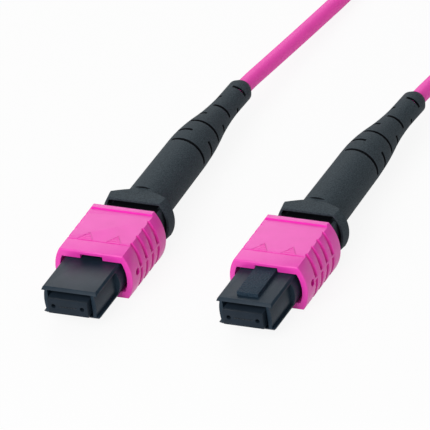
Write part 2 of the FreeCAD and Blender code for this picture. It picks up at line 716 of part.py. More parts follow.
def boot_profile():
    """Half section of the boot: the stepped bore, the tail, the double bend, the drafted barrel, the head."""
    sleeve_bore = f"({CRIMP_BORE} + crimp_wall + 2 * inner_gap)"
    tail_bore = f"({JACKET_BORE} + crimp_wall + 2 * inner_gap)"
    bend = f"((taper_length^2 + {TAPER_DROP}^2) / (4 * {TAPER_DROP}))"
    middle = ("taper_start + taper_length / 2", f"({TAPER_DIAMETER} + tail_diameter) / 4")
    return [
        ("boot_front", sleeve_bore),
        (CRIMP_TAIL, sleeve_bore),
        (CRIMP_TAIL, tail_bore),
        (f"{CRIMP_END} + inner_gap", tail_bore),
        (f"{CRIMP_END} + inner_gap", "boot_bore / 2"),
        (CABLE_EXIT, "boot_bore / 2"),
        (CABLE_EXIT, JACKET_BORE),
        ("boot_end", JACKET_BORE),
        ("boot_end", "tail_diameter / 2 - tail_round / 2"),
        ("boot_end - tail_round", "tail_diameter / 2"),
        (TAPER_END, "tail_diameter / 2", f"-{bend}"),
        (*middle, bend),
        ("taper_start", f"{TAPER_DIAMETER} / 2"),
        ("boot_front + head_length + head_cone", "boot_diameter / 2"),
        ("boot_front + head_length", "head_diameter / 2"),
        ("boot_front", "head_front_diameter / 2"),
    ]


def make_strain_boot(end):
    """Flexible boot with a hollow oval head. Slots cross the axis, each pair a quarter turn from the last."""
    body = new_body("strain_boot", end)
    add_revolution(body, draw_loop(new_sketch(body, "YZ_Plane"), boot_profile()), "H_Axis")
    flats = new_sketch(body, station="boot_front")
    both_faces(flats, "head_diameter + boot_diameter", "head_flat_height / 2", "head_diameter")
    cut_pocket(body, flats, "head_flat_length")
    hollow = draw_loop(new_sketch(body, station="boot_front"), head_oval("head_wall"))
    cut_pocket(body, hollow, "head_recess")
    for first, turn, count in (("0", "0", TOP_SLOTS), ("slot_pitch", "90", TOP_SLOTS - 1)):
        slots = new_sketch(body, station=f"slot_first + {first}", turn=f"slot_turn + {turn}")
        both_faces(slots, "2 * boot_diameter", "slot_floor", "boot_diameter")
        repeat_along(body, cut_pocket(body, slots, "slot_width"), "2 * slot_pitch", f"{count}")
    seat(body, end)


def rounded_path(points):
    """Straight runs between the points, joined by tangent arcs as large as the runs allow."""
    edges, radii = [], []
    here = points[0]
    for before, corner, after in zip(points, points[1:], points[2:]):
        back, ahead = before - corner, after - corner
        turn = math.pi - back.getAngle(ahead)
        trim = CORD_RADIUS_SHARE * min(back.Length, ahead.Length)
        radius = trim / math.tan(turn / 2)
        start = corner + back * (trim / back.Length)
        finish = corner + ahead * (trim / ahead.Length)
        inward = (start + finish) / 2 - corner
        to_centre = radius / math.cos(turn / 2)
        middle = corner + inward * ((to_centre - radius) / inward.Length)
        edges += [Part.makeLine(here, start), Part.Arc(start, middle, finish).toShape()]
        radii.append(radius)
        here = finish
    edges.append(Part.makeLine(here, points[-1]))
    return Part.Wire(edges), radii


def make_coil():
    """The put-away length: the outer shape of eight turns, four side by side and two deep."""
    body = doc.addObject("PartDesign::Body", "cable_coil")
    corner = "cable_diameter / 2"
    section = chamfered("coil_width / 2", "coil_height / 2", corner)
    profile = [(f"coil_radius + ({across})", up) for across, up in section]
    add_revolution(body, draw_loop(new_sketch(body), profile), "V_Axis")
    bind(body, "Placement.Base.x", "coil_across")
    bind(body, "Placement.Base.y", "coil_back")
    bind(body, "Placement.Base.z", "tie_thickness + coil_height / 2")
    pieces.append(body)
    return body


def strap_box(length, near, far, margin):
    """A box about the coil's section at one place, wider by the margin all round."""
    box = doc.addObject("Part::Box", "strap_box")
    bind(box, "Length", length)
    bind(box, "Width", f"({far}) - ({near}) + 2 * ({margin})")
    bind(box, "Height", f"coil_height + inner_gap + 2 * ({margin})")
    bind(box, "Placement.Base.x", f"coil_across - ({length}) / 2")
    bind(box, "Placement.Base.y", f"{near} - ({margin})")
    bind(box, "Placement.Base.z", f"tie_thickness - ({margin})")
    return box


def make_ties():
    """Two straps round the coil's turns, at its front and its back."""
    hollow = "(sqrt((coil_radius - coil_width / 2)^2 - (tie_width / 2)^2) - inner_gap)"
    outside = "(coil_radius + coil_width / 2 + inner_gap)"
    straps = []
    for near, far in ((f"-{outside}", f"-{hollow}"), (hollow, outside)):
        reach = (f"coil_back + {near}", f"coil_back + {far}")
        strap = doc.addObject("Part::Cut", "strap")
        strap.Base = strap_box("tie_width", *reach, "tie_thickness")
        strap.Tool = strap_box("2 * tie_width", *reach, "0")
        straps.append(strap)
    ties = doc.addObject("Part::Compound", "coil_ties")
    ties.Links = straps
    pieces.append(ties)


def make_cable_run(end, route, coil):
    """The free cable from the boot's lip to the coil, which it meets face to face."""
    points = [FreeCAD.Vector(*point) for point in route]
    path, radii = rounded_path(points)
    print(f"cable_run_{end.letter} radii:", [round(radius, 1) for radius in radii])
    ring = Part.makeCircle(value("cable_diameter / 2"), points[0], points[1] - points[0])
    tube = path.makePipeShell([Part.Wire(ring)], True, False)
    whole = path.Length * math.pi * value("cable_diameter / 2") ** 2
    print(f"cable_run_{end.letter} volume over section times length:", round(tube.Volume / whole, 4))
    run = doc.addObject("Part::Feature", f"cable_run_{end.letter}")
    run.Shape = tube.cut(coil.Shape)
    pieces.append(run)


def lead_out(end):
    """The first two points of a free cable: the boot's lip, and a little past it."""
    across, up = value(end.across), value(AXIS_HEIGHT)
    stations = (CABLE_EXIT, f"{CABLE_EXIT} + {LEAD_DIAMETERS} * cable_diameter")
    return [(across, value(f"{end.along} + {station}"), up) for station in stations]


for end in ENDS:
    make_ferrule(end)
    make_ferrule_boot(end)
    make_pin_keeper(end)
    make_main_spring(end)
    make_fibre_ribbon(end)
    make_plug_frame(end)
    make_coupling(end)
    make_coupling_springs(end)
    make_rear_housing(end)
    make_aramid_layer(end)
    make_crimp_sleeve(end)
    make_cable_lead(end)
    make_strain_boot(end)

coil = make_coil()
make_ties()
doc.recompute()
ROUTE_A = [(14.5, 39.9, 2.97), (15.5, 50.0, 2.3), (17.8, 62.0, 2.5), (22.6, 75.0, 3.6), (24.6, 87.0, 4.1)]
ROUTE_B = [(-12.2, 36.8, 2.97), (-11.2, 46.8, 2.2), (-10.4, 57.3, 1.6), (-12.6, 73.0, 1.5), (-14.6, 87.0, 1.7)]
make_cable_run(ENDS[0], lead_out(ENDS[0]) + ROUTE_A, coil)
make_cable_run(ENDS[1], lead_out(ENDS[1]) + ROUTE_B, coil)

doc.recompute()
for thing in doc.Objects:
    if "Invalid" in thing.State or "Error" in thing.State:
        raise ValueError(f"{thing.Label} failed: {thing.State}")
for piece in pieces:
    if piece.Shape.isNull() or not piece.Shape.isValid():
        raise ValueError(f"{piece.Label} has no valid shape")
os.makedirs("parts", exist_ok=True)
for piece in pieces:
    piece.Shape.exportStep(f"parts/{piece.Label}.step")
print(len(pieces), "pieces")
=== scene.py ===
# %% [markdown]
# # A fibre patch cable, dressed for its portrait
#
# The object is a short fibre cable with a push-on plug at each end. Each plug has a pink sleeve that slides
# on a charcoal frame, a block with two guide holes at its front, and a long slotted boot behind it.
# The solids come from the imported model, and this lesson gives them their edges, finishes and light.
# Everything is in metres, in the model's own frame: +Y runs from the plug faces back along the cable.

import json
import math

import bmesh
import bpy
from mathutils import Matrix, Vector
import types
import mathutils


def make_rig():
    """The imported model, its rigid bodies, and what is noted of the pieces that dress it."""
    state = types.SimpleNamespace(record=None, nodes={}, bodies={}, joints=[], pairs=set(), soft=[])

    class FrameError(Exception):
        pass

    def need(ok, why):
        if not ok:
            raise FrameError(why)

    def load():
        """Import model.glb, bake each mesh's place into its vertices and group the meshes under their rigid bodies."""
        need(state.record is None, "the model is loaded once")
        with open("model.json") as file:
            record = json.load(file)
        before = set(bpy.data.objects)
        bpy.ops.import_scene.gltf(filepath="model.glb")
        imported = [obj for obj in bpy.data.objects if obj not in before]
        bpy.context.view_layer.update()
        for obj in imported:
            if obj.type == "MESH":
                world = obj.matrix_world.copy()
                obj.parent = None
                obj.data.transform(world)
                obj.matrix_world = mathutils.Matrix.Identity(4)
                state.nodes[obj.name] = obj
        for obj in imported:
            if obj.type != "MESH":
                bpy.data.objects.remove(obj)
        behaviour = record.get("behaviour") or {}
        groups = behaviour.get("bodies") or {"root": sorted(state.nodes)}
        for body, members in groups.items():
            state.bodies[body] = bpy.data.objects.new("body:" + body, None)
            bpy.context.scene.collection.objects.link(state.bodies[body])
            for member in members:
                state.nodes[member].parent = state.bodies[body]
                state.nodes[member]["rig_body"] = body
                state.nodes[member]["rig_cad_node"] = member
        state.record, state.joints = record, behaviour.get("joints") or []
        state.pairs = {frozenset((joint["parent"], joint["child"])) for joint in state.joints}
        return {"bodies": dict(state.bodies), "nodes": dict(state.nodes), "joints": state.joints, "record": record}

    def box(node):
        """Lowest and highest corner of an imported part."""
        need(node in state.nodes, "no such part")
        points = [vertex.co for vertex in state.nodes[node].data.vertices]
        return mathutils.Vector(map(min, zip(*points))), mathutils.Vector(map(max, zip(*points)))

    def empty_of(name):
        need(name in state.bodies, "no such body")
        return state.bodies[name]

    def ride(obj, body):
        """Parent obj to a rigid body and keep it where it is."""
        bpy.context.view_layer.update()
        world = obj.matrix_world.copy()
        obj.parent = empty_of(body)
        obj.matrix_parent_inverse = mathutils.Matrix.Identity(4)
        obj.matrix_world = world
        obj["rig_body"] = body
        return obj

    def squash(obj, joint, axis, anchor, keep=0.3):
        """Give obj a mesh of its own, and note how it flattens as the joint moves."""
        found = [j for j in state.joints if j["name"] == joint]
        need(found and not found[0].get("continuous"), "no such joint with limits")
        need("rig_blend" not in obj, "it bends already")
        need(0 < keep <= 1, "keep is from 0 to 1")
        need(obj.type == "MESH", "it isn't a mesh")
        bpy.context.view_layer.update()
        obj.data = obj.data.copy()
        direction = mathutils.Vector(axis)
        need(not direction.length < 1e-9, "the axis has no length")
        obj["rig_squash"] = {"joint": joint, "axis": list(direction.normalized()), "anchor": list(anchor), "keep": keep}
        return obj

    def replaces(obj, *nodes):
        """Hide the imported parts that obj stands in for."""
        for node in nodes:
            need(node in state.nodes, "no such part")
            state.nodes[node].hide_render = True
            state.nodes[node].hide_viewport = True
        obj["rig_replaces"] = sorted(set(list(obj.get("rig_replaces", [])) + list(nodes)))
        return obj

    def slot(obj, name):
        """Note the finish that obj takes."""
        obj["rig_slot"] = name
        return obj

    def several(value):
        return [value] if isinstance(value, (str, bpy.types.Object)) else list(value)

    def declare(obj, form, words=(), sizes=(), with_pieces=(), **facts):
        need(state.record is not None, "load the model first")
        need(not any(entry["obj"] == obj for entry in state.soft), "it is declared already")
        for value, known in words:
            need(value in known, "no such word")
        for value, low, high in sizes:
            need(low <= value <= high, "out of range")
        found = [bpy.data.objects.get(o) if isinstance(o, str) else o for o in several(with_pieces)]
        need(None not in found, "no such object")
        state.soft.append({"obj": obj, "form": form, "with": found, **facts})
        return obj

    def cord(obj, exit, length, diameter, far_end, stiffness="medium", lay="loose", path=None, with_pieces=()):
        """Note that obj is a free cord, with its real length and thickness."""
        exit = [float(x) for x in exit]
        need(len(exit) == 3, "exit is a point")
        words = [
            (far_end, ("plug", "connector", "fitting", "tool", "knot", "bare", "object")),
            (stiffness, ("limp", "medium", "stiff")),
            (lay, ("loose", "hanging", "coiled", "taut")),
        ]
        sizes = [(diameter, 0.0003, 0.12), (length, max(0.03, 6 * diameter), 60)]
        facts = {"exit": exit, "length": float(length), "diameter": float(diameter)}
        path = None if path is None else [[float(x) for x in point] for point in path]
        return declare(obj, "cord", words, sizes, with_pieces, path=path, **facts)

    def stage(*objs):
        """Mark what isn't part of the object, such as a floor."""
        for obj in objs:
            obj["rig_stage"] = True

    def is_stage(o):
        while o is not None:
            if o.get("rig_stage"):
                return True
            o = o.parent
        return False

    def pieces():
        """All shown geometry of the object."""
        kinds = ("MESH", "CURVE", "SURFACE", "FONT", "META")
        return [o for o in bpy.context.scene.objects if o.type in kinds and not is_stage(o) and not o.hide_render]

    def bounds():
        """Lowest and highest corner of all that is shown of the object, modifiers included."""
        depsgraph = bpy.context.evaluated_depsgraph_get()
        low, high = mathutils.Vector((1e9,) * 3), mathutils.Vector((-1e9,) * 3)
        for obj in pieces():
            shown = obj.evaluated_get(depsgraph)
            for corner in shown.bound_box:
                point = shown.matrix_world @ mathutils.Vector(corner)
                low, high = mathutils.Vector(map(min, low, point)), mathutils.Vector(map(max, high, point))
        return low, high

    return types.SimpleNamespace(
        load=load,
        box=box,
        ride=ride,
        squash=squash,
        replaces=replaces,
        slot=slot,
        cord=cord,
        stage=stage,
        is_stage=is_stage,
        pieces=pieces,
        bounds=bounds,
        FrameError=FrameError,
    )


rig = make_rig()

MM = 0.001
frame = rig.load()
cad_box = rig.bounds()
nodes = frame["nodes"]
scene = bpy.context.scene
scene.view_settings.view_transform = "Standard"
print("CAD box in mm:", [[round(c / MM, 2) for c in corner] for corner in cad_box])

# %% [markdown]
# ## Where each plug lies
#
# Both plugs are the same, but end a lies with its key up and end b is rolled half a turn about its axis.
# A small record for each end, read from the boxes of its solids, lets every later step say a place once,
# in the plug's own frame, and use it at both ends. The boots are soft, and the pull of the cable has moved
# their tails about half a millimetre to one side, so each end also knows how far its tail is bent.

# %% Read the two ends from the model
class PlugEnd:
    """One end of the cable: its letter and the matrix from the plug's frame to the model's."""

    def __init__(self, letter, roll, tail_shift):
        low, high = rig.box(f"coupling_{letter}")
        axis = (low + high) / 2
        self.letter = letter
        self.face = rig.box(f"ferrule_{letter}")[0].y
        self.matrix = Matrix.Translation((axis.x, self.face, axis.z)) @ Matrix.Rotation(roll, 4, "Y")
        self.tail_shift = Vector(tail_shift) * MM

    def bend(self, along):
        """How far the flexible tail of the boot has moved aside at a place along the model."""
        share = max(along - self.face - BEND_START, 0) / BEND_LENGTH
        return self.tail_shift * share**BEND_POWER


BEND_START, BEND_LENGTH, BEND_POWER = 44.0 * MM, 18.0 * MM, 1.25
ENDS = (PlugEnd("a", 0.0, (0.66, 0.0, -0.50)), PlugEnd("b", math.pi, (0.44, 0.0, -0.33)))
for end in ENDS:
    print("end", end.letter, "face at", [round(c / MM, 2) for c in end.matrix.translation])

# %% [markdown]
# ## The camera
#
# A very long lens, more than two metres away, keeps the two plugs the same size and their edges parallel,
# as a product picture does. Where it stands and how it is turned were found by matching corners of the
# plugs with the picture, so they are written as a position and three directions: right, down and forwards
# in the image.

# %% Set up the camera
IMAGE_SIZE = 430
FOCAL_PIXELS = 16000
SENSOR_MM = 36.0
CLIP_NEAR, CLIP_FAR = 0.01, 10.0
CAMERA_FROM_FACE = Vector((934.15, -1725.72, 1229.67)) * MM
IMAGE_RIGHT = Vector((0.905999, 0.404929, -0.123285))
IMAGE_DOWN = Vector((0.120499, -0.525946, -0.841938))
IMAGE_FORWARD = Vector((-0.405766, 0.747939, -0.525300))


def make_camera():
    lens = bpy.data.cameras.new("portrait_lens")
    lens.sensor_width = SENSOR_MM
    lens.lens = FOCAL_PIXELS / IMAGE_SIZE * SENSOR_MM
    lens.clip_start = CLIP_NEAR
    lens.clip_end = CLIP_FAR
    camera = bpy.data.objects.new("portrait_camera", lens)
    scene.collection.objects.link(camera)
    low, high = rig.box("ferrule_a")
    face = Vector(((low.x + high.x) / 2, low.y, (low.z + high.z) / 2))
    turn = Matrix((IMAGE_RIGHT, -IMAGE_DOWN, -IMAGE_FORWARD)).transposed()
    camera.matrix_world = Matrix.Translation(face + CAMERA_FROM_FACE) @ turn.to_4x4()
    scene.camera = camera
    return camera


camera = make_camera()
print("camera at", [round(c, 4) for c in camera.location], "with a lens of", round(camera.data.lens), "mm")

# %% [markdown]
# ## The cable
#
# The cable is taken to be about a metre long, and the picture shows a few centimetres of it. The rest is
# wound into a neat coil behind the plugs, out of the picture. One smooth spline runs from boot to boot: out
# of the lip of boot b, down to the table, round the coil on two layers, and back to boot a. The points of
# the route and the coil are in millimetres.

# %% Draw the cable's route
CABLE_DIAMETER = 2.4 * MM
LEAD_DIAMETERS = 1.25
ROUTE_A = [
    (14.5, 39.9, 2.97),
    (15.5, 50.0, 2.3),
    (17.8, 62.0, 2.5),
    (22.6, 75.0, 3.6),
    (24.6, 87.0, 4.1),
]
ROUTE_B = [
    (-12.25, 36.8, 3.13),
    (-11.05, 49.5, 2.2),
    (-9.3, 66.0, 1.35),
    (-12.4, 78.0, 1.5),
    (-14.6, 87.0, 1.7),
]
COIL_CENTRE = Vector((5.0, 93.0))
COIL_OUTER, COIL_INNER = 19.6, 12.4
COIL_ROWS = (1.7, 4.1)
COIL_TURNS = 7.5
WIND_START, UNWIND_START, WIND_TURNS = 0.5, 4.0, 3
CLIMB_START, CLIMB_TURNS = 3.5, 0.5
STEPS_PER_TURN = 16
SPLINE_ORDER = 3
CABLE_SMOOTHNESS = 6
# A spline of this order runs inside its control points, by this share at the middle of each span.
SPLINE_SHRINK = (1 + math.cos(math.tau / STEPS_PER_TURN) / 3) * 0.75


def boot_lip(end):
    """The first two points of the free cable: at the lip inside the boot's bent tail, and out of it."""
    low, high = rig.box(f"cable_lead_{end.letter}")
    points = []
    for along in (high.y, high.y + LEAD_DIAMETERS * CABLE_DIAMETER):
        middle = Vector(((low.x + high.x) / 2, along, (low.z + high.z) / 2))
        points.append(tuple((middle + end.bend(along)) / MM))
    return points


def share_done(turn, start, length):
    """How much of a stretch of the coil is done after so many turns, from 0 to 1."""
    return min(max(turn - start, 0), length) / length


def coil_shape(turn):
    """Radius and height of the cable's middle after so many turns of the coil."""
    inward = share_done(turn, WIND_START, WIND_TURNS)
    climb = share_done(turn, CLIMB_START, CLIMB_TURNS)
    outward = share_done(turn, UNWIND_START, WIND_TURNS)
    radius = COIL_OUTER + (COIL_INNER - COIL_OUTER) * (inward - outward)
    return radius, COIL_ROWS[0] + (COIL_ROWS[1] - COIL_ROWS[0]) * climb


def coil_points():
    """The coil's turns, clockwise from above, from its left side to its right side."""
    points = []
    for step in range(int(COIL_TURNS * STEPS_PER_TURN) + 1):
        turn = step / STEPS_PER_TURN
        radius, height = coil_shape(turn)
        angle = math.pi - math.tau * turn
        reach = radius / SPLINE_SHRINK
        across = COIL_CENTRE.x + reach * math.cos(angle)
        points.append((across, COIL_CENTRE.y + reach * math.sin(angle), height))
    return points


def make_cable():
    points = boot_lip(ENDS[1]) + ROUTE_B + coil_points() + ROUTE_A[::-1] + boot_lip(ENDS[0])[::-1]
    curve = bpy.data.curves.new("patch_cable", "CURVE")
    curve.dimensions = "3D"
    spline = curve.splines.new("NURBS")
    spline.points.add(len(points) - 1)
    for control, point in zip(spline.points, points):
        control.co = (*(Vector(point) * MM), 1.0)
    spline.order_u = SPLINE_ORDER
    spline.use_endpoint_u = True
    spline.resolution_u = CABLE_SMOOTHNESS
    curve.bevel_depth = CABLE_DIAMETER / 2
    curve.bevel_resolution = CABLE_SMOOTHNESS
    curve.use_fill_caps = True
    cable = bpy.data.objects.new("patch_cable", curve)
    scene.collection.objects.link(cable)
    return cable, points


cable, cable_points = make_cable()
print("cable spline with", len(cable_points), "points")

# %% [markdown]
# ## Table and light
#
# The picture has a plain white ground and very soft light. A white plane is the table. To the camera it is
# mostly plain white with a little of its own shading left in, so that a soft shadow stays under the object.
# A broad lamp above and in front lights the tops most, and the right-hand sides least.

# %% Make the table, the lamps and the world
FLOOR_WHITE = (1.0, 1.0, 1.0, 1.0)
FLOOR_ALBEDO = (0.86, 0.86, 0.86, 1.0)
FLOOR_SHADE_SHARE = 0.10
FLOOR_HALF = 4.0
FLOOR_DROP = 0.02 * MM
LAMP_SIZE = 0.5
FRONT_LAMP, FRONT_WATTS = (-0.06, -0.50, 0.38), 3.5
REAR_LAMP, REAR_WATTS = (-0.28, 0.52, 0.38), 1.8
WORLD_STRENGTH = 0.33


def new_material(name):
    material = bpy.data.materials.new(name)
    material.use_nodes = True
    material.node_tree.nodes.clear()
    output = material.node_tree.nodes.new("ShaderNodeOutputMaterial")
    return material, material.node_tree, output


def make_floor():
    mesh = bpy.data.meshes.new("table")
    corners = [(x * FLOOR_HALF, y * FLOOR_HALF, 0) for x, y in ((-1, -1), (1, -1), (1, 1), (-1, 1))]
    mesh.from_pydata(corners, [], [(0, 1, 2, 3)])
    floor = bpy.data.objects.new("table", mesh)
    scene.collection.objects.link(floor)
    floor.location.z = -FLOOR_DROP
    material, tree, output = new_material("white_table")
    shade = tree.nodes.new("ShaderNodeBsdfDiffuse")
    shade.inputs["Color"].default_value = FLOOR_ALBEDO
    glow = tree.nodes.new("ShaderNodeEmission")
    glow.inputs["Color"].default_value = FLOOR_WHITE
    path = tree.nodes.new("ShaderNodeLightPath")
    seen = tree.nodes.new("ShaderNodeMath")
    seen.operation = "MAXIMUM"
    tree.links.new(path.outputs["Is Camera Ray"], seen.inputs[0])
    tree.links.new(path.outputs["Is Glossy Ray"], seen.inputs[1])
    share = tree.nodes.new("ShaderNodeMath")
    share.operation = "MULTIPLY"
    tree.links.new(seen.outputs[0], share.inputs[0])
    share.inputs[1].default_value = 1.0 - FLOOR_SHADE_SHARE
    mix = tree.nodes.new("ShaderNodeMixShader")
    tree.links.new(share.outputs[0], mix.inputs["Fac"])
    tree.links.new(shade.outputs["BSDF"], mix.inputs[1])
    tree.links.new(glow.outputs["Emission"], mix.inputs[2])
    tree.links.new(mix.outputs["Shader"], output.inputs["Surface"])
    mesh.materials.append(material)
    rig.stage(floor)
    return floor


def make_lamp(name, place, watts):
    """A square lamp that looks at the middle of the plugs."""
    light = bpy.data.lights.new(name, "AREA")
    light.size = LAMP_SIZE
    light.energy = watts
    lamp = bpy.data.objects.new(name, light)
    scene.collection.objects.link(lamp)
    lamp.location = place
    lamp.rotation_mode = "QUATERNION"
    lamp.rotation_quaternion = (-Vector(place)).to_track_quat("-Z", "Y")
    return lamp


def make_world():
    world = bpy.data.worlds.new("studio")
    scene.world = world
    world.use_nodes = True
    tree = world.node_tree
    tree.nodes.clear()
    output = tree.nodes.new("ShaderNodeOutputWorld")
    soft = tree.nodes.new("ShaderNodeBackground")
    soft.inputs["Strength"].default_value = WORLD_STRENGTH
    white = tree.nodes.new("ShaderNodeBackground")
    path = tree.nodes.new("ShaderNodeLightPath")
    mix = tree.nodes.new("ShaderNodeMixShader")
    for shader in (soft, white):
        shader.inputs["Color"].default_value = FLOOR_WHITE
    tree.links.new(path.outputs["Is Camera Ray"], mix.inputs["Fac"])
    tree.links.new(soft.outputs["Background"], mix.inputs[1])
    tree.links.new(white.outputs["Background"], mix.inputs[2])
    tree.links.new(mix.outputs["Shader"], output.inputs["Surface"])


make_floor()
make_lamp("front_softbox", FRONT_LAMP, FRONT_WATTS)
make_lamp("rear_softbox", REAR_LAMP, REAR_WATTS)
make_world()
print("table, two lamps and a pale world")

# %% [markdown]
# ## Shared finishes: moulded grain
#
# Every plastic piece came out of a steel mould, so its skin has a fine even grain and, more faintly, broad
# patches where the plastic flowed. Both effects are wanted in several materials, so they are one node group
# with a vector and two sizes going in, and a height and a patch value coming out.

# %% Build the grain group
NOISE_LOW, NOISE_HIGH = 0.3, 0.7
GRAIN_SCALE, GRAIN_DETAIL = 6000.0, 3.0
PATCH_SCALE, PATCH_DETAIL = 400.0, 2.0


def make_grain_group():
    group = bpy.data.node_groups.new("moulded_grain", "ShaderNodeTree")
    group.interface.new_socket("Vector", in_out="INPUT", socket_type="NodeSocketVector")
    for name, default in (("Grain Scale", GRAIN_SCALE), ("Patch Scale", PATCH_SCALE)):
        socket = group.interface.new_socket(name, in_out="INPUT", socket_type="NodeSocketFloat")
        socket.default_value = default
    for name in ("Height", "Patch"):
        group.interface.new_socket(name, in_out="OUTPUT", socket_type="NodeSocketFloat")
    entry = group.nodes.new("NodeGroupInput")
    leave = group.nodes.new("NodeGroupOutput")
    noises = (("Grain Scale", GRAIN_DETAIL, "Height"), ("Patch Scale", PATCH_DETAIL, "Patch"))
    for size, detail, result in noises:
        noise = group.nodes.new("ShaderNodeTexNoise")
        noise.inputs["Detail"].default_value = detail
        group.links.new(entry.outputs["Vector"], noise.inputs["Vector"])
        group.links.new(entry.outputs[size], noise.inputs["Scale"])
        spread = group.nodes.new("ShaderNodeMapRange")
        spread.inputs["From Min"].default_value = NOISE_LOW
        spread.inputs["From Max"].default_value = NOISE_HIGH
        group.links.new(noise.outputs["Fac"], spread.inputs["Value"])
        group.links.new(spread.outputs["Result"], leave.inputs[result])
    return group


grain_group = make_grain_group()
print("node group", grain_group.name, "with a height and a patch value")

# %% [markdown]
# ## Shared finishes: threads
#
# The strength yarn and the straps round the coil are both made of threads. Two sets of bands, along and
# across, give the height of the threads, which also says where the lighter ones are.

# %% Build the thread group
THREAD_SCALE = 800.0
THREAD_WOBBLE = 0.6


def make_thread_group():
    group = bpy.data.node_groups.new("crossed_threads", "ShaderNodeTree")
    group.interface.new_socket("Vector", in_out="INPUT", socket_type="NodeSocketVector")
    for name, default in (("Warp Scale", THREAD_SCALE), ("Weft Scale", THREAD_SCALE)):
        socket = group.interface.new_socket(name, in_out="INPUT", socket_type="NodeSocketFloat")
        socket.default_value = default
    group.interface.new_socket("Height", in_out="OUTPUT", socket_type="NodeSocketFloat")
    entry = group.nodes.new("NodeGroupInput")
    leave = group.nodes.new("NodeGroupOutput")
    bands = []
    for direction, size in (("X", "Warp Scale"), ("Y", "Weft Scale")):
        wave = group.nodes.new("ShaderNodeTexWave")
        wave.bands_direction = direction
        wave.inputs["Distortion"].default_value = THREAD_WOBBLE
        group.links.new(entry.outputs["Vector"], wave.inputs["Vector"])
        group.links.new(entry.outputs[size], wave.inputs["Scale"])
        bands.append(wave.outputs["Fac"])
    both = group.nodes.new("ShaderNodeMath")
    both.operation = "MULTIPLY"
    for socket, band in zip(both.inputs, bands):
        group.links.new(band, socket)
    group.links.new(both.outputs[0], leave.inputs["Height"])
    return group


thread_group = make_thread_group()
print("node group", thread_group.name)

# %% [markdown]
# ## The materials
#
# One recipe serves all the moulded pieces: two close shades mixed by the patches, a roughness that wanders a
# little, and the grain as a bump. What changes from piece to piece is the colour, the gloss and the depth of
# the grain. Threads, metal and glass get recipes of their own.

# %% Moulded plastics and rubber
ROUGH_SWING = 0.06
PLASTIC_SHINE = 0.5
MICROMETRE = 1e-6


def shade_between(tree, factor, dark, light):
    tint = tree.nodes.new("ShaderNodeMix")
    tint.data_type = "RGBA"
    tint.inputs["A"].default_value = (*dark, 1.0)
    tint.inputs["B"].default_value = (*light, 1.0)
    tree.links.new(factor, tint.inputs["Factor"])
    return tint.outputs["Result"]


def bump_from(tree, height, micrometres):
    bump = tree.nodes.new("ShaderNodeBump")
    bump.inputs["Distance"].default_value = micrometres * MICROMETRE
    tree.links.new(height, bump.inputs["Height"])
    return bump.outputs["Normal"]


def moulded(name, light, dark, rough, grain, depth, shine=PLASTIC_SHINE, tint="Patch"):
    """A moulded material. Grain is its scale per metre, and depth the height of its bump in micrometres."""
    material, tree, output = new_material(name)
    where = tree.nodes.new("ShaderNodeTexCoord")
    skin = tree.nodes.new("ShaderNodeGroup")
    skin.node_tree = grain_group
    skin.inputs["Grain Scale"].default_value = grain
    tree.links.new(where.outputs["Object"], skin.inputs["Vector"])
    gloss = tree.nodes.new("ShaderNodeMapRange")
    gloss.inputs["To Min"].default_value = rough - ROUGH_SWING
    gloss.inputs["To Max"].default_value = rough + ROUGH_SWING
    tree.links.new(skin.outputs["Height"], gloss.inputs["Value"])
    surface = tree.nodes.new("ShaderNodeBsdfPrincipled")
    surface.inputs["Specular IOR Level"].default_value = shine
    tree.links.new(shade_between(tree, skin.outputs[tint], dark, light), surface.inputs["Base Color"])
    tree.links.new(gloss.outputs["Result"], surface.inputs["Roughness"])
    tree.links.new(bump_from(tree, skin.outputs["Height"], depth), surface.inputs["Normal"])
    tree.links.new(surface.outputs["BSDF"], output.inputs["Surface"])
    return material


PINK, PINK_SHADE = (0.85, 0.050, 0.47), (0.81, 0.045, 0.44)
# A deeper pink with less shine: painted shade for the sleeve's forward-facing slopes, which catch no sheen.
PAINTED_SHADE_PINK, PAINTED_SHADE_PINK_DARK = (0.86, 0.016, 0.45), (0.82, 0.014, 0.42)
JACKET, JACKET_SHADE = (0.95, 0.070, 0.50), (0.91, 0.064, 0.47)
CHARCOAL, CHARCOAL_SHADE = (0.013, 0.027, 0.043), (0.009, 0.020, 0.033)
KEY_LIGHT, KEY_DARK = (0.024, 0.045, 0.068), (0.006, 0.018, 0.034)
FERRULE, FERRULE_SHADE = (0.014, 0.022, 0.033), (0.011, 0.018, 0.027)
BOOT_LIGHT, BOOT_DARK = (0.058, 0.076, 0.089), (0.022, 0.032, 0.040)
BLACK, BLACK_SHADE = (0.006, 0.007, 0.009), (0.004, 0.005, 0.007)
# After its two shades, each plastic has its roughness, grain, depth and shine.
sleeve_pink = moulded("sleeve_pink", PINK, PINK_SHADE, 0.40, 9000.0, 2.5)
slope_painted_shade_pink = moulded("slope_painted_shade_pink", PAINTED_SHADE_PINK, PAINTED_SHADE_PINK_DARK, 0.50, 9000.0, 2.5, 0.15)
jacket_pink = moulded("jacket_pink", JACKET, JACKET_SHADE, 0.60, 4000.0, 1.2, 0.45)
frame_charcoal = moulded("frame_charcoal", CHARCOAL, CHARCOAL_SHADE, 0.45, 7000.0, 4.0, 0.20)
key_charcoal = moulded("key_charcoal", KEY_LIGHT, KEY_DARK, 0.60, 3200.0, 70.0, 0.16, "Height")
ferrule_charcoal = moulded("ferrule_charcoal", FERRULE, FERRULE_SHADE, 0.32, 8000.0, 2.0, 0.10)
boot_charcoal = moulded("boot_charcoal", BOOT_LIGHT, BOOT_DARK, 0.72, 5500.0, 8.0, 0.15, "Height")
# Near-black painted shade for the spring push's top in the gap behind the sleeve.
housing_black = moulded("housing_black", BLACK, BLACK_SHADE, 0.50, 7000.0, 4.0, 0.10)
# Near-black painted shade for the boots' slots, head hollow, step and bore.
recess_painted_shade = moulded("recess_painted_shade", BLACK, BLACK_SHADE, 0.55, 9000.0, 2.0, 0.10)
soft_black = moulded("soft_black", BLACK, BLACK_SHADE, 0.60, 5000.0, 10.0, 0.3)
print("moulded materials made")

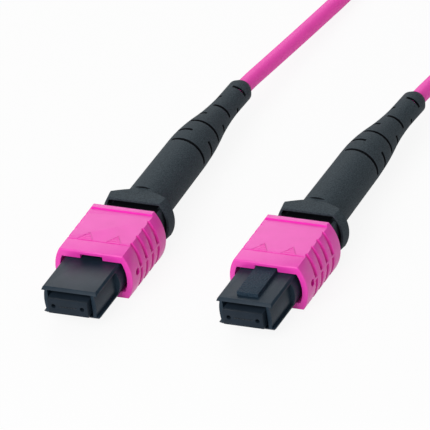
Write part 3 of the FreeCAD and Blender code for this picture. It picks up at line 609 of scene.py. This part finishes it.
# %% Threads, steel and glass
THREAD_SHEEN = 0.3
STEEL_COLOUR, STEEL_ROUGH = (0.58, 0.57, 0.55, 1.0), 0.32
STEEL_STRETCH, STEEL_GRAIN, STEEL_DEPTH = (1.0, 0.04, 1.0), 9000.0, 3.0
GLASS_COLOUR, GLASS_ROUGH, GLASS_COAT = (0.022, 0.028, 0.036, 1.0), 0.12, 0.5


def threaded(name, light, dark, warp, weft, depth, rough):
    """Woven or laid threads, with their scales per metre and their height in micrometres."""
    material, tree, output = new_material(name)
    where = tree.nodes.new("ShaderNodeTexCoord")
    threads = tree.nodes.new("ShaderNodeGroup")
    threads.node_tree = thread_group
    threads.inputs["Warp Scale"].default_value = warp
    threads.inputs["Weft Scale"].default_value = weft
    tree.links.new(where.outputs["Object"], threads.inputs["Vector"])
    surface = tree.nodes.new("ShaderNodeBsdfPrincipled")
    surface.inputs["Roughness"].default_value = rough
    surface.inputs["Sheen Weight"].default_value = THREAD_SHEEN
    tree.links.new(shade_between(tree, threads.outputs["Height"], dark, light), surface.inputs["Base Color"])
    tree.links.new(bump_from(tree, threads.outputs["Height"], depth), surface.inputs["Normal"])
    tree.links.new(surface.outputs["BSDF"], output.inputs["Surface"])
    return material


def drawn_steel():
    """Bright metal with fine marks along the way it was drawn."""
    material, tree, output = new_material("drawn_steel")
    where = tree.nodes.new("ShaderNodeTexCoord")
    stretch = tree.nodes.new("ShaderNodeMapping")
    stretch.inputs["Scale"].default_value = STEEL_STRETCH
    tree.links.new(where.outputs["Object"], stretch.inputs["Vector"])
    skin = tree.nodes.new("ShaderNodeGroup")
    skin.node_tree = grain_group
    skin.inputs["Grain Scale"].default_value = STEEL_GRAIN
    tree.links.new(stretch.outputs["Vector"], skin.inputs["Vector"])
    surface = tree.nodes.new("ShaderNodeBsdfPrincipled")
    surface.inputs["Base Color"].default_value = STEEL_COLOUR
    surface.inputs["Metallic"].default_value = 1.0
    surface.inputs["Roughness"].default_value = STEEL_ROUGH
    tree.links.new(bump_from(tree, skin.outputs["Height"], STEEL_DEPTH), surface.inputs["Normal"])
    tree.links.new(surface.outputs["BSDF"], output.inputs["Surface"])
    return material


def polished_glass():
    """The ends and sides of the bare fibres: smooth, and dark where no light comes through them."""
    material, tree, output = new_material("polished_glass")
    surface = tree.nodes.new("ShaderNodeBsdfPrincipled")
    surface.inputs["Base Color"].default_value = GLASS_COLOUR
    surface.inputs["Roughness"].default_value = GLASS_ROUGH
    surface.inputs["Coat Weight"].default_value = GLASS_COAT
    tree.links.new(surface.outputs["BSDF"], output.inputs["Surface"])
    return material


THREAD_GREY, THREAD_SHADE = (0.20, 0.20, 0.21), (0.13, 0.13, 0.14)
sewing_thread = moulded("sewing_thread", THREAD_GREY, THREAD_SHADE, 0.65, 9000.0, 10.0, 0.3)
GOLD, GOLD_SHADE = (0.72, 0.52, 0.12), (0.50, 0.34, 0.07)
WEBBING, WEBBING_SHADE = (0.028, 0.028, 0.031), (0.012, 0.012, 0.014)
# After its two shades, each thread has its warp, weft, depth and roughness.
aramid_gold = threaded("aramid_gold", GOLD, GOLD_SHADE, 900.0, 60.0, 40.0, 0.55)
strap_weave = threaded("strap_weave", WEBBING, WEBBING_SHADE, 420.0, 420.0, 90.0, 0.80)
steel = drawn_steel()
glass = polished_glass()
print("threads, steel and glass made")

# %% [markdown]
# ## Rounded edges on the visible pieces
#
# A moulded part has no perfectly sharp edge, and a thin line of light along each edge is much of what makes
# it look real. Each visible solid is copied, its loose triangles are merged, flat faces are joined, and a
# small bevel runs along every edge that turns by more than a set angle. The copy then stands for the solid.

# %% A rounded copy of a solid
BEVEL_TURN = math.radians(32)
SMOOTH_TURN = math.radians(36)
FLAT_TURN = math.radians(0.3)
MERGE_DISTANCE = 0.002 * MM
BEVEL_STEPS = 3


def merged_copy(node, name):
    mesh = nodes[node].data.copy()
    mesh.name = name
    mesh.materials.clear()
    shape = bmesh.new()
    shape.from_mesh(mesh)
    bmesh.ops.remove_doubles(shape, verts=shape.verts, dist=MERGE_DISTANCE)
    bmesh.ops.dissolve_limit(shape, angle_limit=FLAT_TURN, verts=shape.verts, edges=shape.edges)
    shape.to_mesh(mesh)
    shape.free()
    piece = bpy.data.objects.new(name, mesh)
    scene.collection.objects.link(piece)
    return piece


def plain_mesh(piece):
    """Turns a piece with modifiers into a plain mesh of the same shape."""
    depsgraph = bpy.context.evaluated_depsgraph_get()
    mesh = bpy.data.meshes.new_from_object(piece.evaluated_get(depsgraph))
    piece.modifiers.clear()
    piece.data = mesh
    return piece


def shade_smooth(piece):
    """Smooth shading that stops at the sharper edges."""
    piece.data.shade_smooth()
    piece.data.set_sharp_from_angle(angle=SMOOTH_TURN)


def rounded(node, name, edge):
    piece = merged_copy(node, name)
    bevel = piece.modifiers.new("edges", "BEVEL")
    bevel.width = edge
    bevel.segments = BEVEL_STEPS
    bevel.limit_method = "ANGLE"
    bevel.angle_limit = BEVEL_TURN
    plain_mesh(piece)
    shade_smooth(piece)
    return piece


def join_the_part(piece, body, slot, *replaced):
    """Says which body a piece rides on, which solids it stands for and which finish it has."""
    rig.ride(piece, body)
    if replaced:
        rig.replaces(piece, *replaced)
    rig.slot(piece, slot)
    return piece


def dress(node, name, body, slot, edge, *materials):
    piece = rounded(node, name, edge)
    for material in materials:
        piece.data.materials.append(material)
    return join_the_part(piece, body, slot, node)


print("edges turn by more than", round(math.degrees(BEVEL_TURN)), "degrees to get a bevel")

# %% [markdown]
# ## Sleeves, blocks and housings
#
# The band's slope and the ramps of the grips face forward behind the rim, and they get a deeper pink with less shine:
# painted shade, where these faces catch no sheen. They are found by the way that they face. The housing is seen only in
# the gap behind the sleeve. Its sides get the boot's lighter charcoal as painted light, and its top a near-black as
# painted shade.

# %% Dress the sleeves, blocks and housings
SLEEVE_EDGE, BLOCK_EDGE, HOUSING_EDGE = 0.07 * MM, 0.03 * MM, 0.04 * MM
CHEEK_TURN = 0.35
SLOPES_START = 11.0 * MM
STEEPEST, SHALLOWEST = -0.95, -0.25


def faces_the_nose(face, end):
    """True for the band's slope and the grips' ramps, which face forward behind the sleeve's rim."""
    place = end.matrix.inverted() @ face.center
    return place.y > SLOPES_START and STEEPEST < face.normal.y < SHALLOWEST


for end in ENDS:
    letter = end.letter
    solid, name = f"coupling_{letter}", f"release_sleeve_{letter}"
    sleeve = dress(solid, name, f"sleeve_{letter}", "coupling", SLEEVE_EDGE, sleeve_pink, slope_painted_shade_pink)
    # Forward-facing faces behind the rim take the deeper pink, a painted shade.
    for face in sleeve.data.polygons:
        face.material_index = int(faces_the_nose(face, end))
    solid, name = f"ferrule_{letter}", f"fibre_block_{letter}"
    dress(solid, name, f"float_{letter}", "ferrule", BLOCK_EDGE, ferrule_charcoal)
    solid, name = f"rear_housing_{letter}", f"spring_push_{letter}"
    push = dress(solid, name, "trunk", "housing", HOUSING_EDGE, housing_black, boot_charcoal)
    # Side faces take the boot's lighter charcoal as painted light; the rest keep the near-black painted shade.
    for face in push.data.polygons:
        face.material_index = int(abs(face.normal.x) > CHEEK_TURN)
print("rounded copies of the sleeves, blocks and housings")

# %% [markdown]
# ## The boots
#
# A boot is grained outside. The walls of its slots, the hollow of its head, the step behind it and its bore get a
# near-black with little shine: painted shade for recesses that little light reaches. A face is one of them when it
# looks along the boot or towards its axis, or lies nearer to the axis than the thin tail's skin. Last, every point
# moves aside with the bend of the tail.

# %% Dress the boots
SLOTS_START, SLOTS_END = 40.9 * MM, 59.6 * MM
HEAD_START, HEAD_END = 24.6 * MM, 29.0 * MM
INWARD = -0.1 * MM
TAIL_SKIN = 1.65 * MM
ACROSS = 0.8
BOOT_EDGE = 0.05 * MM


def in_painted_shade_recess(face, end):
    """True for the walls of a slot, of the head's hollow and step, or of the bore."""
    place = end.matrix.inverted() @ face.center
    along = face.normal.y
    outward = face.normal.x * (face.center.x - end.matrix.translation.x)
    outward += face.normal.z * (face.center.z - end.matrix.translation.z)
    in_slots = SLOTS_START < place.y < SLOTS_END and (abs(along) > ACROSS or outward < TAIL_SKIN)
    in_head = HEAD_START < place.y < HEAD_END and along < -ACROSS
    return in_slots or in_head or outward < INWARD


for end in ENDS:
    solid, name = f"strain_boot_{end.letter}", f"slotted_boot_{end.letter}"
    boot = dress(solid, name, "trunk", "boot", BOOT_EDGE, boot_charcoal, recess_painted_shade)
    # Faces in the slots, the head's hollow and step and the bore get the near-black painted shade.
    for face in boot.data.polygons:
        face.material_index = int(in_painted_shade_recess(face, end))
    for vertex in boot.data.vertices:
        vertex.co += end.bend(vertex.co.y)
    shaded = sum(face.material_index for face in boot.data.polygons)
    print(name, "has", shaded, "smooth faces of", len(boot.data.polygons))

# %% [markdown]
# ## The jacket inside the boots
#
# The cable's jacket runs on into each boot, and its pink shows in the last slot. It follows the bend of the
# tail, so a copy of its straight solid is cut across every millimetre, and the points of each cut move with
# the boot.

# %% Bend the jacket inside the boots
CUT_STEP = 1.0 * MM


def bent_lead(end):
    lead = merged_copy(f"cable_lead_{end.letter}", f"jacket_lead_{end.letter}")
    low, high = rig.box(f"cable_lead_{end.letter}")
    shape = bmesh.new()
    shape.from_mesh(lead.data)
    for step in range(1, int((high.y - low.y) / CUT_STEP)):
        everything = [*shape.verts, *shape.edges, *shape.faces]
        across = Vector((0, low.y + step * CUT_STEP, 0))
        bmesh.ops.bisect_plane(shape, geom=everything, plane_co=across, plane_no=(0, 1, 0))
    for vertex in shape.verts:
        vertex.co += end.bend(vertex.co.y)
    shape.to_mesh(lead.data)
    shape.free()
    shade_smooth(lead)
    lead.data.materials.append(jacket_pink)
    return join_the_part(lead, "trunk", "jacket", f"cable_lead_{end.letter}")


for end in ENDS:
    lead = bent_lead(end)
    print(lead.name, "with", len(lead.data.polygons), "faces")

# %% [markdown]
# ## The frame and its grained key
#
# The key on top of the frame was left rough in the mould, so fingers can find the right way up. The faces
# that stand proud of the frame's plate get the coarse grain, and the rest keep the fine one.

# %% Dress the frames
PLATE_TOP = 2.3 * MM
PLATE_MARGIN = 0.02 * MM
KEY_HALF_WIDTH = 1.8 * MM
FRAME_EDGE = 0.04 * MM


def grain_the_key(piece, end):
    to_plug = end.matrix.inverted()
    grained = 0
    for face in piece.data.polygons:
        place = to_plug @ face.center
        if place.z > PLATE_TOP + PLATE_MARGIN and abs(place.x) < KEY_HALF_WIDTH:
            face.material_index = 1
            grained += 1
    return grained


for end in ENDS:
    solid, name = f"plug_frame_{end.letter}", f"charcoal_frame_{end.letter}"
    shell = dress(solid, name, "trunk", "frame", FRAME_EDGE, frame_charcoal, key_charcoal)
    print(name, "has", grain_the_key(shell, end), "grained faces")

# %% [markdown]
# ## Trees for what repeats
#
# Arrow rungs, fibres and stitches are the same small shape many times over. A geometry tree holds each of
# them, with a named input for every size. This helper keeps a tree short to write: it adds nodes with their
# inputs by name, links a socket or sets a number, and grows a plain mesh from the finished tree.

# %% A helper that grows meshes from geometry trees
CORNER_POINTS = 6


class Growth:
    """A geometry tree with a named input for each of its sizes."""

    def __init__(self, name, **sizes):
        self.tree = bpy.data.node_groups.new(name, "GeometryNodeTree")
        self.tree.interface.new_socket("Geometry", in_out="OUTPUT", socket_type="NodeSocketGeometry")
        self.inputs = {}
        for label, default in sizes.items():
            kind = "NodeSocketInt" if isinstance(default, int) else "NodeSocketFloat"
            socket = self.tree.interface.new_socket(label, in_out="INPUT", socket_type=kind)
            socket.default_value = default
            self.inputs[label] = socket.identifier
        self.entry = self.tree.nodes.new("NodeGroupInput")

    def size(self, label):
        return self.entry.outputs[label]

    def add(self, kind, **inputs):
        node = self.tree.nodes.new(kind)
        for label, source in inputs.items():
            self.join(source, node.inputs[label.replace("_", " ")])
        return node

    def join(self, source, socket):
        if isinstance(source, bpy.types.NodeSocket):
            self.tree.links.new(source, socket)
        else:
            socket.default_value = source

    def maths(self, operation, first, second):
        node = self.tree.nodes.new("ShaderNodeMath")
        node.operation = operation
        self.join(first, node.inputs[0])
        self.join(second, node.inputs[1])
        return node.outputs[0]

    def vector(self, x=0.0, y=0.0, z=0.0):
        return self.add("ShaderNodeCombineXYZ", X=x, Y=y, Z=z).outputs[0]

    def copies(self, places, shape, **inputs):
        node = self.add("GeometryNodeInstanceOnPoints", Points=places, Instance=shape, **inputs)
        return node.outputs[0]

    def row(self, count, first, step):
        """Points in a straight row, from the first on by a step."""
        return self.add("GeometryNodeMeshLine", Count=count, Start_Location=first, Offset=step).outputs[0]

    def outline(self, width, height, corner):
        """A closed flat curve: a rectangle with rounded corners."""
        sharp = self.add("GeometryNodeCurvePrimitiveQuadrilateral", Width=width, Height=height).outputs[0]
        soft = self.add("GeometryNodeFilletCurve", Curve=sharp, Radius=corner)
        soft.mode = "POLY"
        soft.inputs["Count"].default_value = CORNER_POINTS
        return soft.outputs[0]

    def pair(self, shape, spacing):
        """Two copies of a shape, half the spacing to the left and to the right."""
        left = self.vector(self.maths("MULTIPLY", spacing, -0.5))
        return self.copies(self.row(2, left, self.vector(spacing)), shape)

    def end(self, shape, material):
        real = self.add("GeometryNodeRealizeInstances", Geometry=shape)
        coloured = self.add("GeometryNodeSetMaterial", Geometry=real.outputs[0], Material=material)
        leave = self.tree.nodes.new("NodeGroupOutput")
        self.tree.links.new(coloured.outputs[0], leave.inputs[0])

    def grow(self, name, **sizes):
        piece = bpy.data.objects.new(name, bpy.data.meshes.new(name))
        scene.collection.objects.link(piece)
        modifier = piece.modifiers.new(name, "NODES")
        modifier.node_group = self.tree
        for label, number in sizes.items():
            modifier[self.inputs[label]] = number
        return plain_mesh(piece)


def merged_copies(pieces_and_places, name):
    """One piece from copies of others, each carried by its matrix. The others are removed."""
    shape = bmesh.new()
    materials = []
    sources = []
    for source, place in pieces_and_places:
        mesh = source.data.copy()
        mesh.transform(place)
        base = len(materials)
        materials += list(source.data.materials)
        for face in mesh.polygons:
            face.material_index += base
        shape.from_mesh(mesh)
        bpy.data.meshes.remove(mesh)
        sources.append(source)
    joined = bpy.data.meshes.new(name)
    shape.to_mesh(joined)
    shape.free()
    for material in materials:
        joined.materials.append(material)
    for source in set(sources):
        bpy.data.objects.remove(source)
    piece = bpy.data.objects.new(name, joined)
    scene.collection.objects.link(piece)
    return piece


print("helper ready")

# %% [markdown]
# ## Arrows on the sleeves
#
# Two raised arrows on the top and bottom of each sleeve point the way to pull. An arrow is two thin sides
# and a ladder of rungs that get shorter towards its tip. It stands on the crease of the sleeve's plate.

# %% Make the arrows
SLEEVE_PLATE = 3.72 * MM
ARROW_STATION = 12.25 * MM
HALF_TURN = Matrix.Rotation(math.pi, 4, "Y")


def arrow_tree():
    tree = Growth(
        "pull_arrows",
        Base=2.4 * MM,
        Height=1.9 * MM,
        Line=0.1 * MM,
        Rise=0.05 * MM,
        Spacing=4.6 * MM,
        Rungs=4,
    )
    base, height, line, count = (tree.size(label) for label in ("Base", "Height", "Line", "Rungs"))
    thick = tree.maths("MULTIPLY", tree.size("Rise"), 2.0)
    ladder = tree.row(count, (0.0, 0.0, 0.0), tree.vector(y=tree.maths("DIVIDE", height, count)))
    index = tree.add("GeometryNodeInputIndex").outputs[0]
    share = tree.maths("SUBTRACT", 1.0, tree.maths("DIVIDE", index, count))
    bar = tree.add("GeometryNodeMeshCube", Size=(1.0, 1.0, 1.0)).outputs[0]
    rung = tree.vector(tree.maths("MULTIPLY", base, share), line, thick)
    arrow = tree.add("GeometryNodeJoinGeometry")
    tree.join(tree.copies(ladder, bar, Scale=rung), arrow.inputs[0])
    outline = tree.add("GeometryNodeCurvePrimitiveQuadrilateral", Width=line, Height=thick).outputs[0]
    for side in (-0.5, 0.5):
        foot = tree.vector(tree.maths("MULTIPLY", base, side))
        edge = tree.add("GeometryNodeCurvePrimitiveLine", Start=foot, End=tree.vector(y=height)).outputs[0]
        rail = tree.add("GeometryNodeCurveToMesh", Curve=edge, Profile_Curve=outline, Fill_Caps=True)
        tree.join(rail.outputs[0], arrow.inputs[0])
    tree.end(tree.pair(arrow.outputs[0], tree.size("Spacing")), sleeve_pink)
    return tree


arrows = arrow_tree()
for end in ENDS:
    name = f"pull_arrows_{end.letter}"
    pair = arrows.grow(f"{name}_pair")
    on_plate = Matrix.Translation((0, ARROW_STATION, SLEEVE_PLATE))
    marks = merged_copies([(pair, end.matrix @ on_plate), (pair, end.matrix @ HALF_TURN @ on_plate)], name)
    join_the_part(marks, f"sleeve_{end.letter}", "coupling")
    print(name, "with", len(marks.data.polygons), "faces")

# %% [markdown]
# ## Twelve fibres
#
# The block holds twelve glass fibres in a row, a quarter of a millimetre apart. At the face they are bare,
# and behind it their coatings lie side by side as a ribbon. One tree makes both, with other sizes.

# %% Make the fibres
FIBRE_COUNT = 12
FIBRE_PITCH = 0.25 * MM
BARE_LENGTH = 2.65 * MM
BARE_RADIUS, COATED_RADIUS = 0.0625 * MM, 0.15 * MM
FIBRE_SIDES = 12


def fibre_tree():
    tree = Growth("fibre_row", Count=FIBRE_COUNT, Pitch=FIBRE_PITCH, Radius=BARE_RADIUS, Length=BARE_LENGTH)
    count, pitch, length = (tree.size(label) for label in ("Count", "Pitch", "Length"))
    reach = tree.maths("MULTIPLY", pitch, tree.maths("SUBTRACT", count, 1.0))
    first = tree.vector(tree.maths("MULTIPLY", reach, -0.5), tree.maths("MULTIPLY", length, 0.5))
    rod = tree.add("GeometryNodeMeshCylinder", Vertices=FIBRE_SIDES, Radius=tree.size("Radius"), Depth=length)
    lying = (math.pi / 2, 0.0, 0.0)
    places = tree.row(count, first, tree.vector(pitch))
    tree.end(tree.copies(places, rod.outputs[0], Rotation=lying), glass)
    return tree


fibres = fibre_tree()
for end in ENDS:
    low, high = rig.box(f"fibre_ribbon_{end.letter}")
    sag = (low.z + high.z) / 2 - end.matrix.translation.z
    length = high.y - low.y
    bare = fibres.grow("bare")
    coated = fibres.grow("coated", Radius=COATED_RADIUS, Length=length - BARE_LENGTH)
    lowered = Matrix.Translation((0, 0, sag)) @ end.matrix
    name = f"twelve_fibres_{end.letter}"
    behind = lowered @ Matrix.Translation((0, BARE_LENGTH, 0))
    ribbon = merged_copies([(bare, lowered), (coated, behind)], name)
    join_the_part(ribbon, f"float_{end.letter}", "fibre", f"fibre_ribbon_{end.letter}")
    print(name, "with", len(ribbon.data.polygons), "faces")

# %% [markdown]
# ## The cable's jacket
#
# The spline that was drawn at the start gets its jacket now that the material is there. It stands for the
# coil and both runs of the model, and it is declared as a cord with its length between the boots.

# %% Dress the cable
FREE_LENGTH = 0.885
cable.data.materials.append(jacket_pink)
join_the_part(cable, "trunk", "jacket", "cable_run_a", "cable_run_b", "cable_coil")
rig.cord(
    cable,
    exit=Vector(cable_points[0]) * MM,
    length=FREE_LENGTH,
    diameter=CABLE_DIAMETER,
    far_end="object",
    stiffness="medium",
    lay="coiled",
)
print("cable dressed, with", FREE_LENGTH, "m between the boots")

# %% [markdown]
# ## Straps
#
# Two woven straps hold the coil together. Each is a band of webbing led round the turns, with its end laid
# over the top and sewn down. One tree sweeps the band's section round a loop with rounded corners and lays
# the end on it. Another sews two rows of stitches, each of them a small stretched ball half sunk in the
# weave.

# %% Make the straps
STRAP_THICK = 0.5 * MM
TURN_UP = Matrix(((0, 0, 1), (1, 0, 0), (0, 1, 0))).to_4x4()


def strap_tree():
    tree = Growth(
        "strap_loop",
        Reach=11.0 * MM,
        Tall=6.0 * MM,
        Width=5.0 * MM,
        Thick=STRAP_THICK,
        Corner=1.3 * MM,
        Edge=0.15 * MM,
        Overlap=6.8 * MM,
    )
    labels = ("Reach", "Tall", "Width", "Thick", "Overlap")
    reach, tall, width, thick, overlap = (tree.size(label) for label in labels)
    section = tree.outline(thick, width, tree.size("Edge"))
    loop = tree.outline(
        tree.maths("SUBTRACT", reach, thick), tree.maths("SUBTRACT", tall, thick), tree.size("Corner")
    )
    band = tree.add("GeometryNodeCurveToMesh", Curve=loop, Profile_Curve=section).outputs[0]
    above = tree.maths("MULTIPLY", tree.maths("ADD", tall, thick), 0.5)
    start = tree.vector(tree.maths("MULTIPLY", overlap, -0.5), above)
    stop = tree.vector(tree.maths("MULTIPLY", overlap, 0.5), above)
    line = tree.add("GeometryNodeCurvePrimitiveLine", Start=start, End=stop).outputs[0]
    tab = tree.add("GeometryNodeCurveToMesh", Curve=line, Profile_Curve=section, Fill_Caps=True)
    both = tree.add("GeometryNodeJoinGeometry")
    tree.join(band, both.inputs[0])
    tree.join(tab.outputs[0], both.inputs[0])
    tree.end(both.outputs[0], strap_weave)
    return tree


def strap_places():
    """The length of a strap's loop along the plugs, and where the middles of both loops are."""
    low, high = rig.box("coil_ties")
    middle = (low + high) / 2
    rear = [vertex.co.y for vertex in nodes["coil_ties"].data.vertices if vertex.co.y > middle.y]
    near, far = min(rear), max(rear)
    aside = (near + far) / 2 - middle.y
    return far - near, [middle + Vector((0, side * aside, 0)) for side in (-1, 1)]


low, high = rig.box("coil_ties")
strap_reach, strap_middles = strap_places()
loop = strap_tree().grow("loop", Reach=strap_reach, Tall=high.z - low.z, Width=high.x - low.x)
loops = [(loop, Matrix.Translation(middle) @ TURN_UP) for middle in strap_middles]
straps = merged_copies(loops, "woven_straps")
shade_smooth(straps)
join_the_part(straps, "trunk", "strap", "coil_ties")
print("two straps", round(strap_reach / MM, 2), "mm long round", [round(m.y / MM, 2) for m in strap_middles])

# %% Sew the straps
STITCH_SEGMENTS, STITCH_RINGS = 8, 6
BALL_RADIUS = 0.5


def stitch_tree():
    tree = Growth(
        "stitch_rows",
        Count=5,
        Pitch=1.15 * MM,
        Length=0.85 * MM,
        Thick=0.22 * MM,
        Spacing=3.9 * MM,
    )
    count, pitch, thick = (tree.size(label) for label in ("Count", "Pitch", "Thick"))
    reach = tree.maths("MULTIPLY", pitch, tree.maths("SUBTRACT", count, 1.0))
    places = tree.row(count, tree.vector(y=tree.maths("MULTIPLY", reach, -0.5)), tree.vector(y=pitch))
    ball = tree.add(
        "GeometryNodeMeshUVSphere", Segments=STITCH_SEGMENTS, Rings=STITCH_RINGS, Radius=BALL_RADIUS
    ).outputs[0]
    stitch = tree.vector(thick, tree.size("Length"), thick)
    tree.end(tree.pair(tree.copies(places, ball, Scale=stitch), tree.size("Spacing")), sewing_thread)
    return tree


rows = stitch_tree().grow("rows")
sewn_at = high.z + STRAP_THICK
places = [(rows, Matrix.Translation((middle.x, middle.y, sewn_at))) for middle in strap_middles]
seams = join_the_part(merged_copies(places, "strap_stitches"), "trunk", "strap")
print("stitches with", len(seams.data.polygons), "faces")

# %% [markdown]
# ## Inner pieces
#
# The pieces inside the plugs are only seen when a plug is taken apart, so their solids stay as they are and
# get the finish that they have on the bench.

# %% Dress the inner solids
INNER_FINISHES = {
    "ferrule_boot": soft_black,
    "pin_keeper": steel,
    "crimp_sleeve": steel,
    "aramid_layer": aramid_gold,
}
for end in ENDS:
    for name, finish in INNER_FINISHES.items():
        solid = nodes[f"{name}_{end.letter}"]
        solid.data.materials.clear()
        solid.data.materials.append(finish)
print(len(ENDS) * len(INNER_FINISHES), "inner solids dressed")

# %% [markdown]
# ## What gives way
#
# When a sleeve is pulled back, its two springs get shorter, and when a block is pressed in, so do the spring
# and the ribbon of fibres behind it. Each of these pieces keeps one end still and shrinks by the joint's
# travel.


# %% Make the springs and the fibres give way
def gives_way(piece, joint, held_end):
    """Shortens a piece along the plug by the joint's travel, towards the end that keeps its place."""
    along = [vertex.co.y for vertex in piece.data.vertices]
    travel = next(row["range_m"][1] for row in frame["joints"] if row["name"] == joint)
    keep = 1 - travel / (max(along) - min(along))
    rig.squash(piece, joint, axis=(0, 1, 0), anchor=(0, held_end(along), 0), keep=keep)
    print(piece.name, "keeps", round(keep, 3), "of its length")


def spring_copy(node, name):
    spring = merged_copy(node, name)
    shade_smooth(spring)
    spring.data.materials.append(steel)
    return join_the_part(spring, "trunk", "steel", node)


for end in ENDS:
    letter = end.letter
    sleeve_springs = spring_copy(f"coupling_springs_{letter}", f"sleeve_springs_{letter}")
    gives_way(sleeve_springs, f"coupling_slide_{letter}", max)
    gives_way(spring_copy(f"main_spring_{letter}", f"oval_spring_{letter}"), f"ferrule_float_{letter}", max)
    gives_way(bpy.data.objects[f"twelve_fibres_{letter}"], f"ferrule_float_{letter}", min)

# %% [markdown]
# ## The box of the result
#
# The dressed part has to keep the model's size, so both boxes are written down side by side.

# %% Write the box beside the model's and finish
visual_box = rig.bounds()
with open("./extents.json", "w") as size_file:
    json.dump({"cad": [list(c) for c in cad_box], "visual": [list(c) for c in visual_box]}, size_file)
print("visual box in mm:", [[round(c / MM, 2) for c in corner] for corner in visual_box])
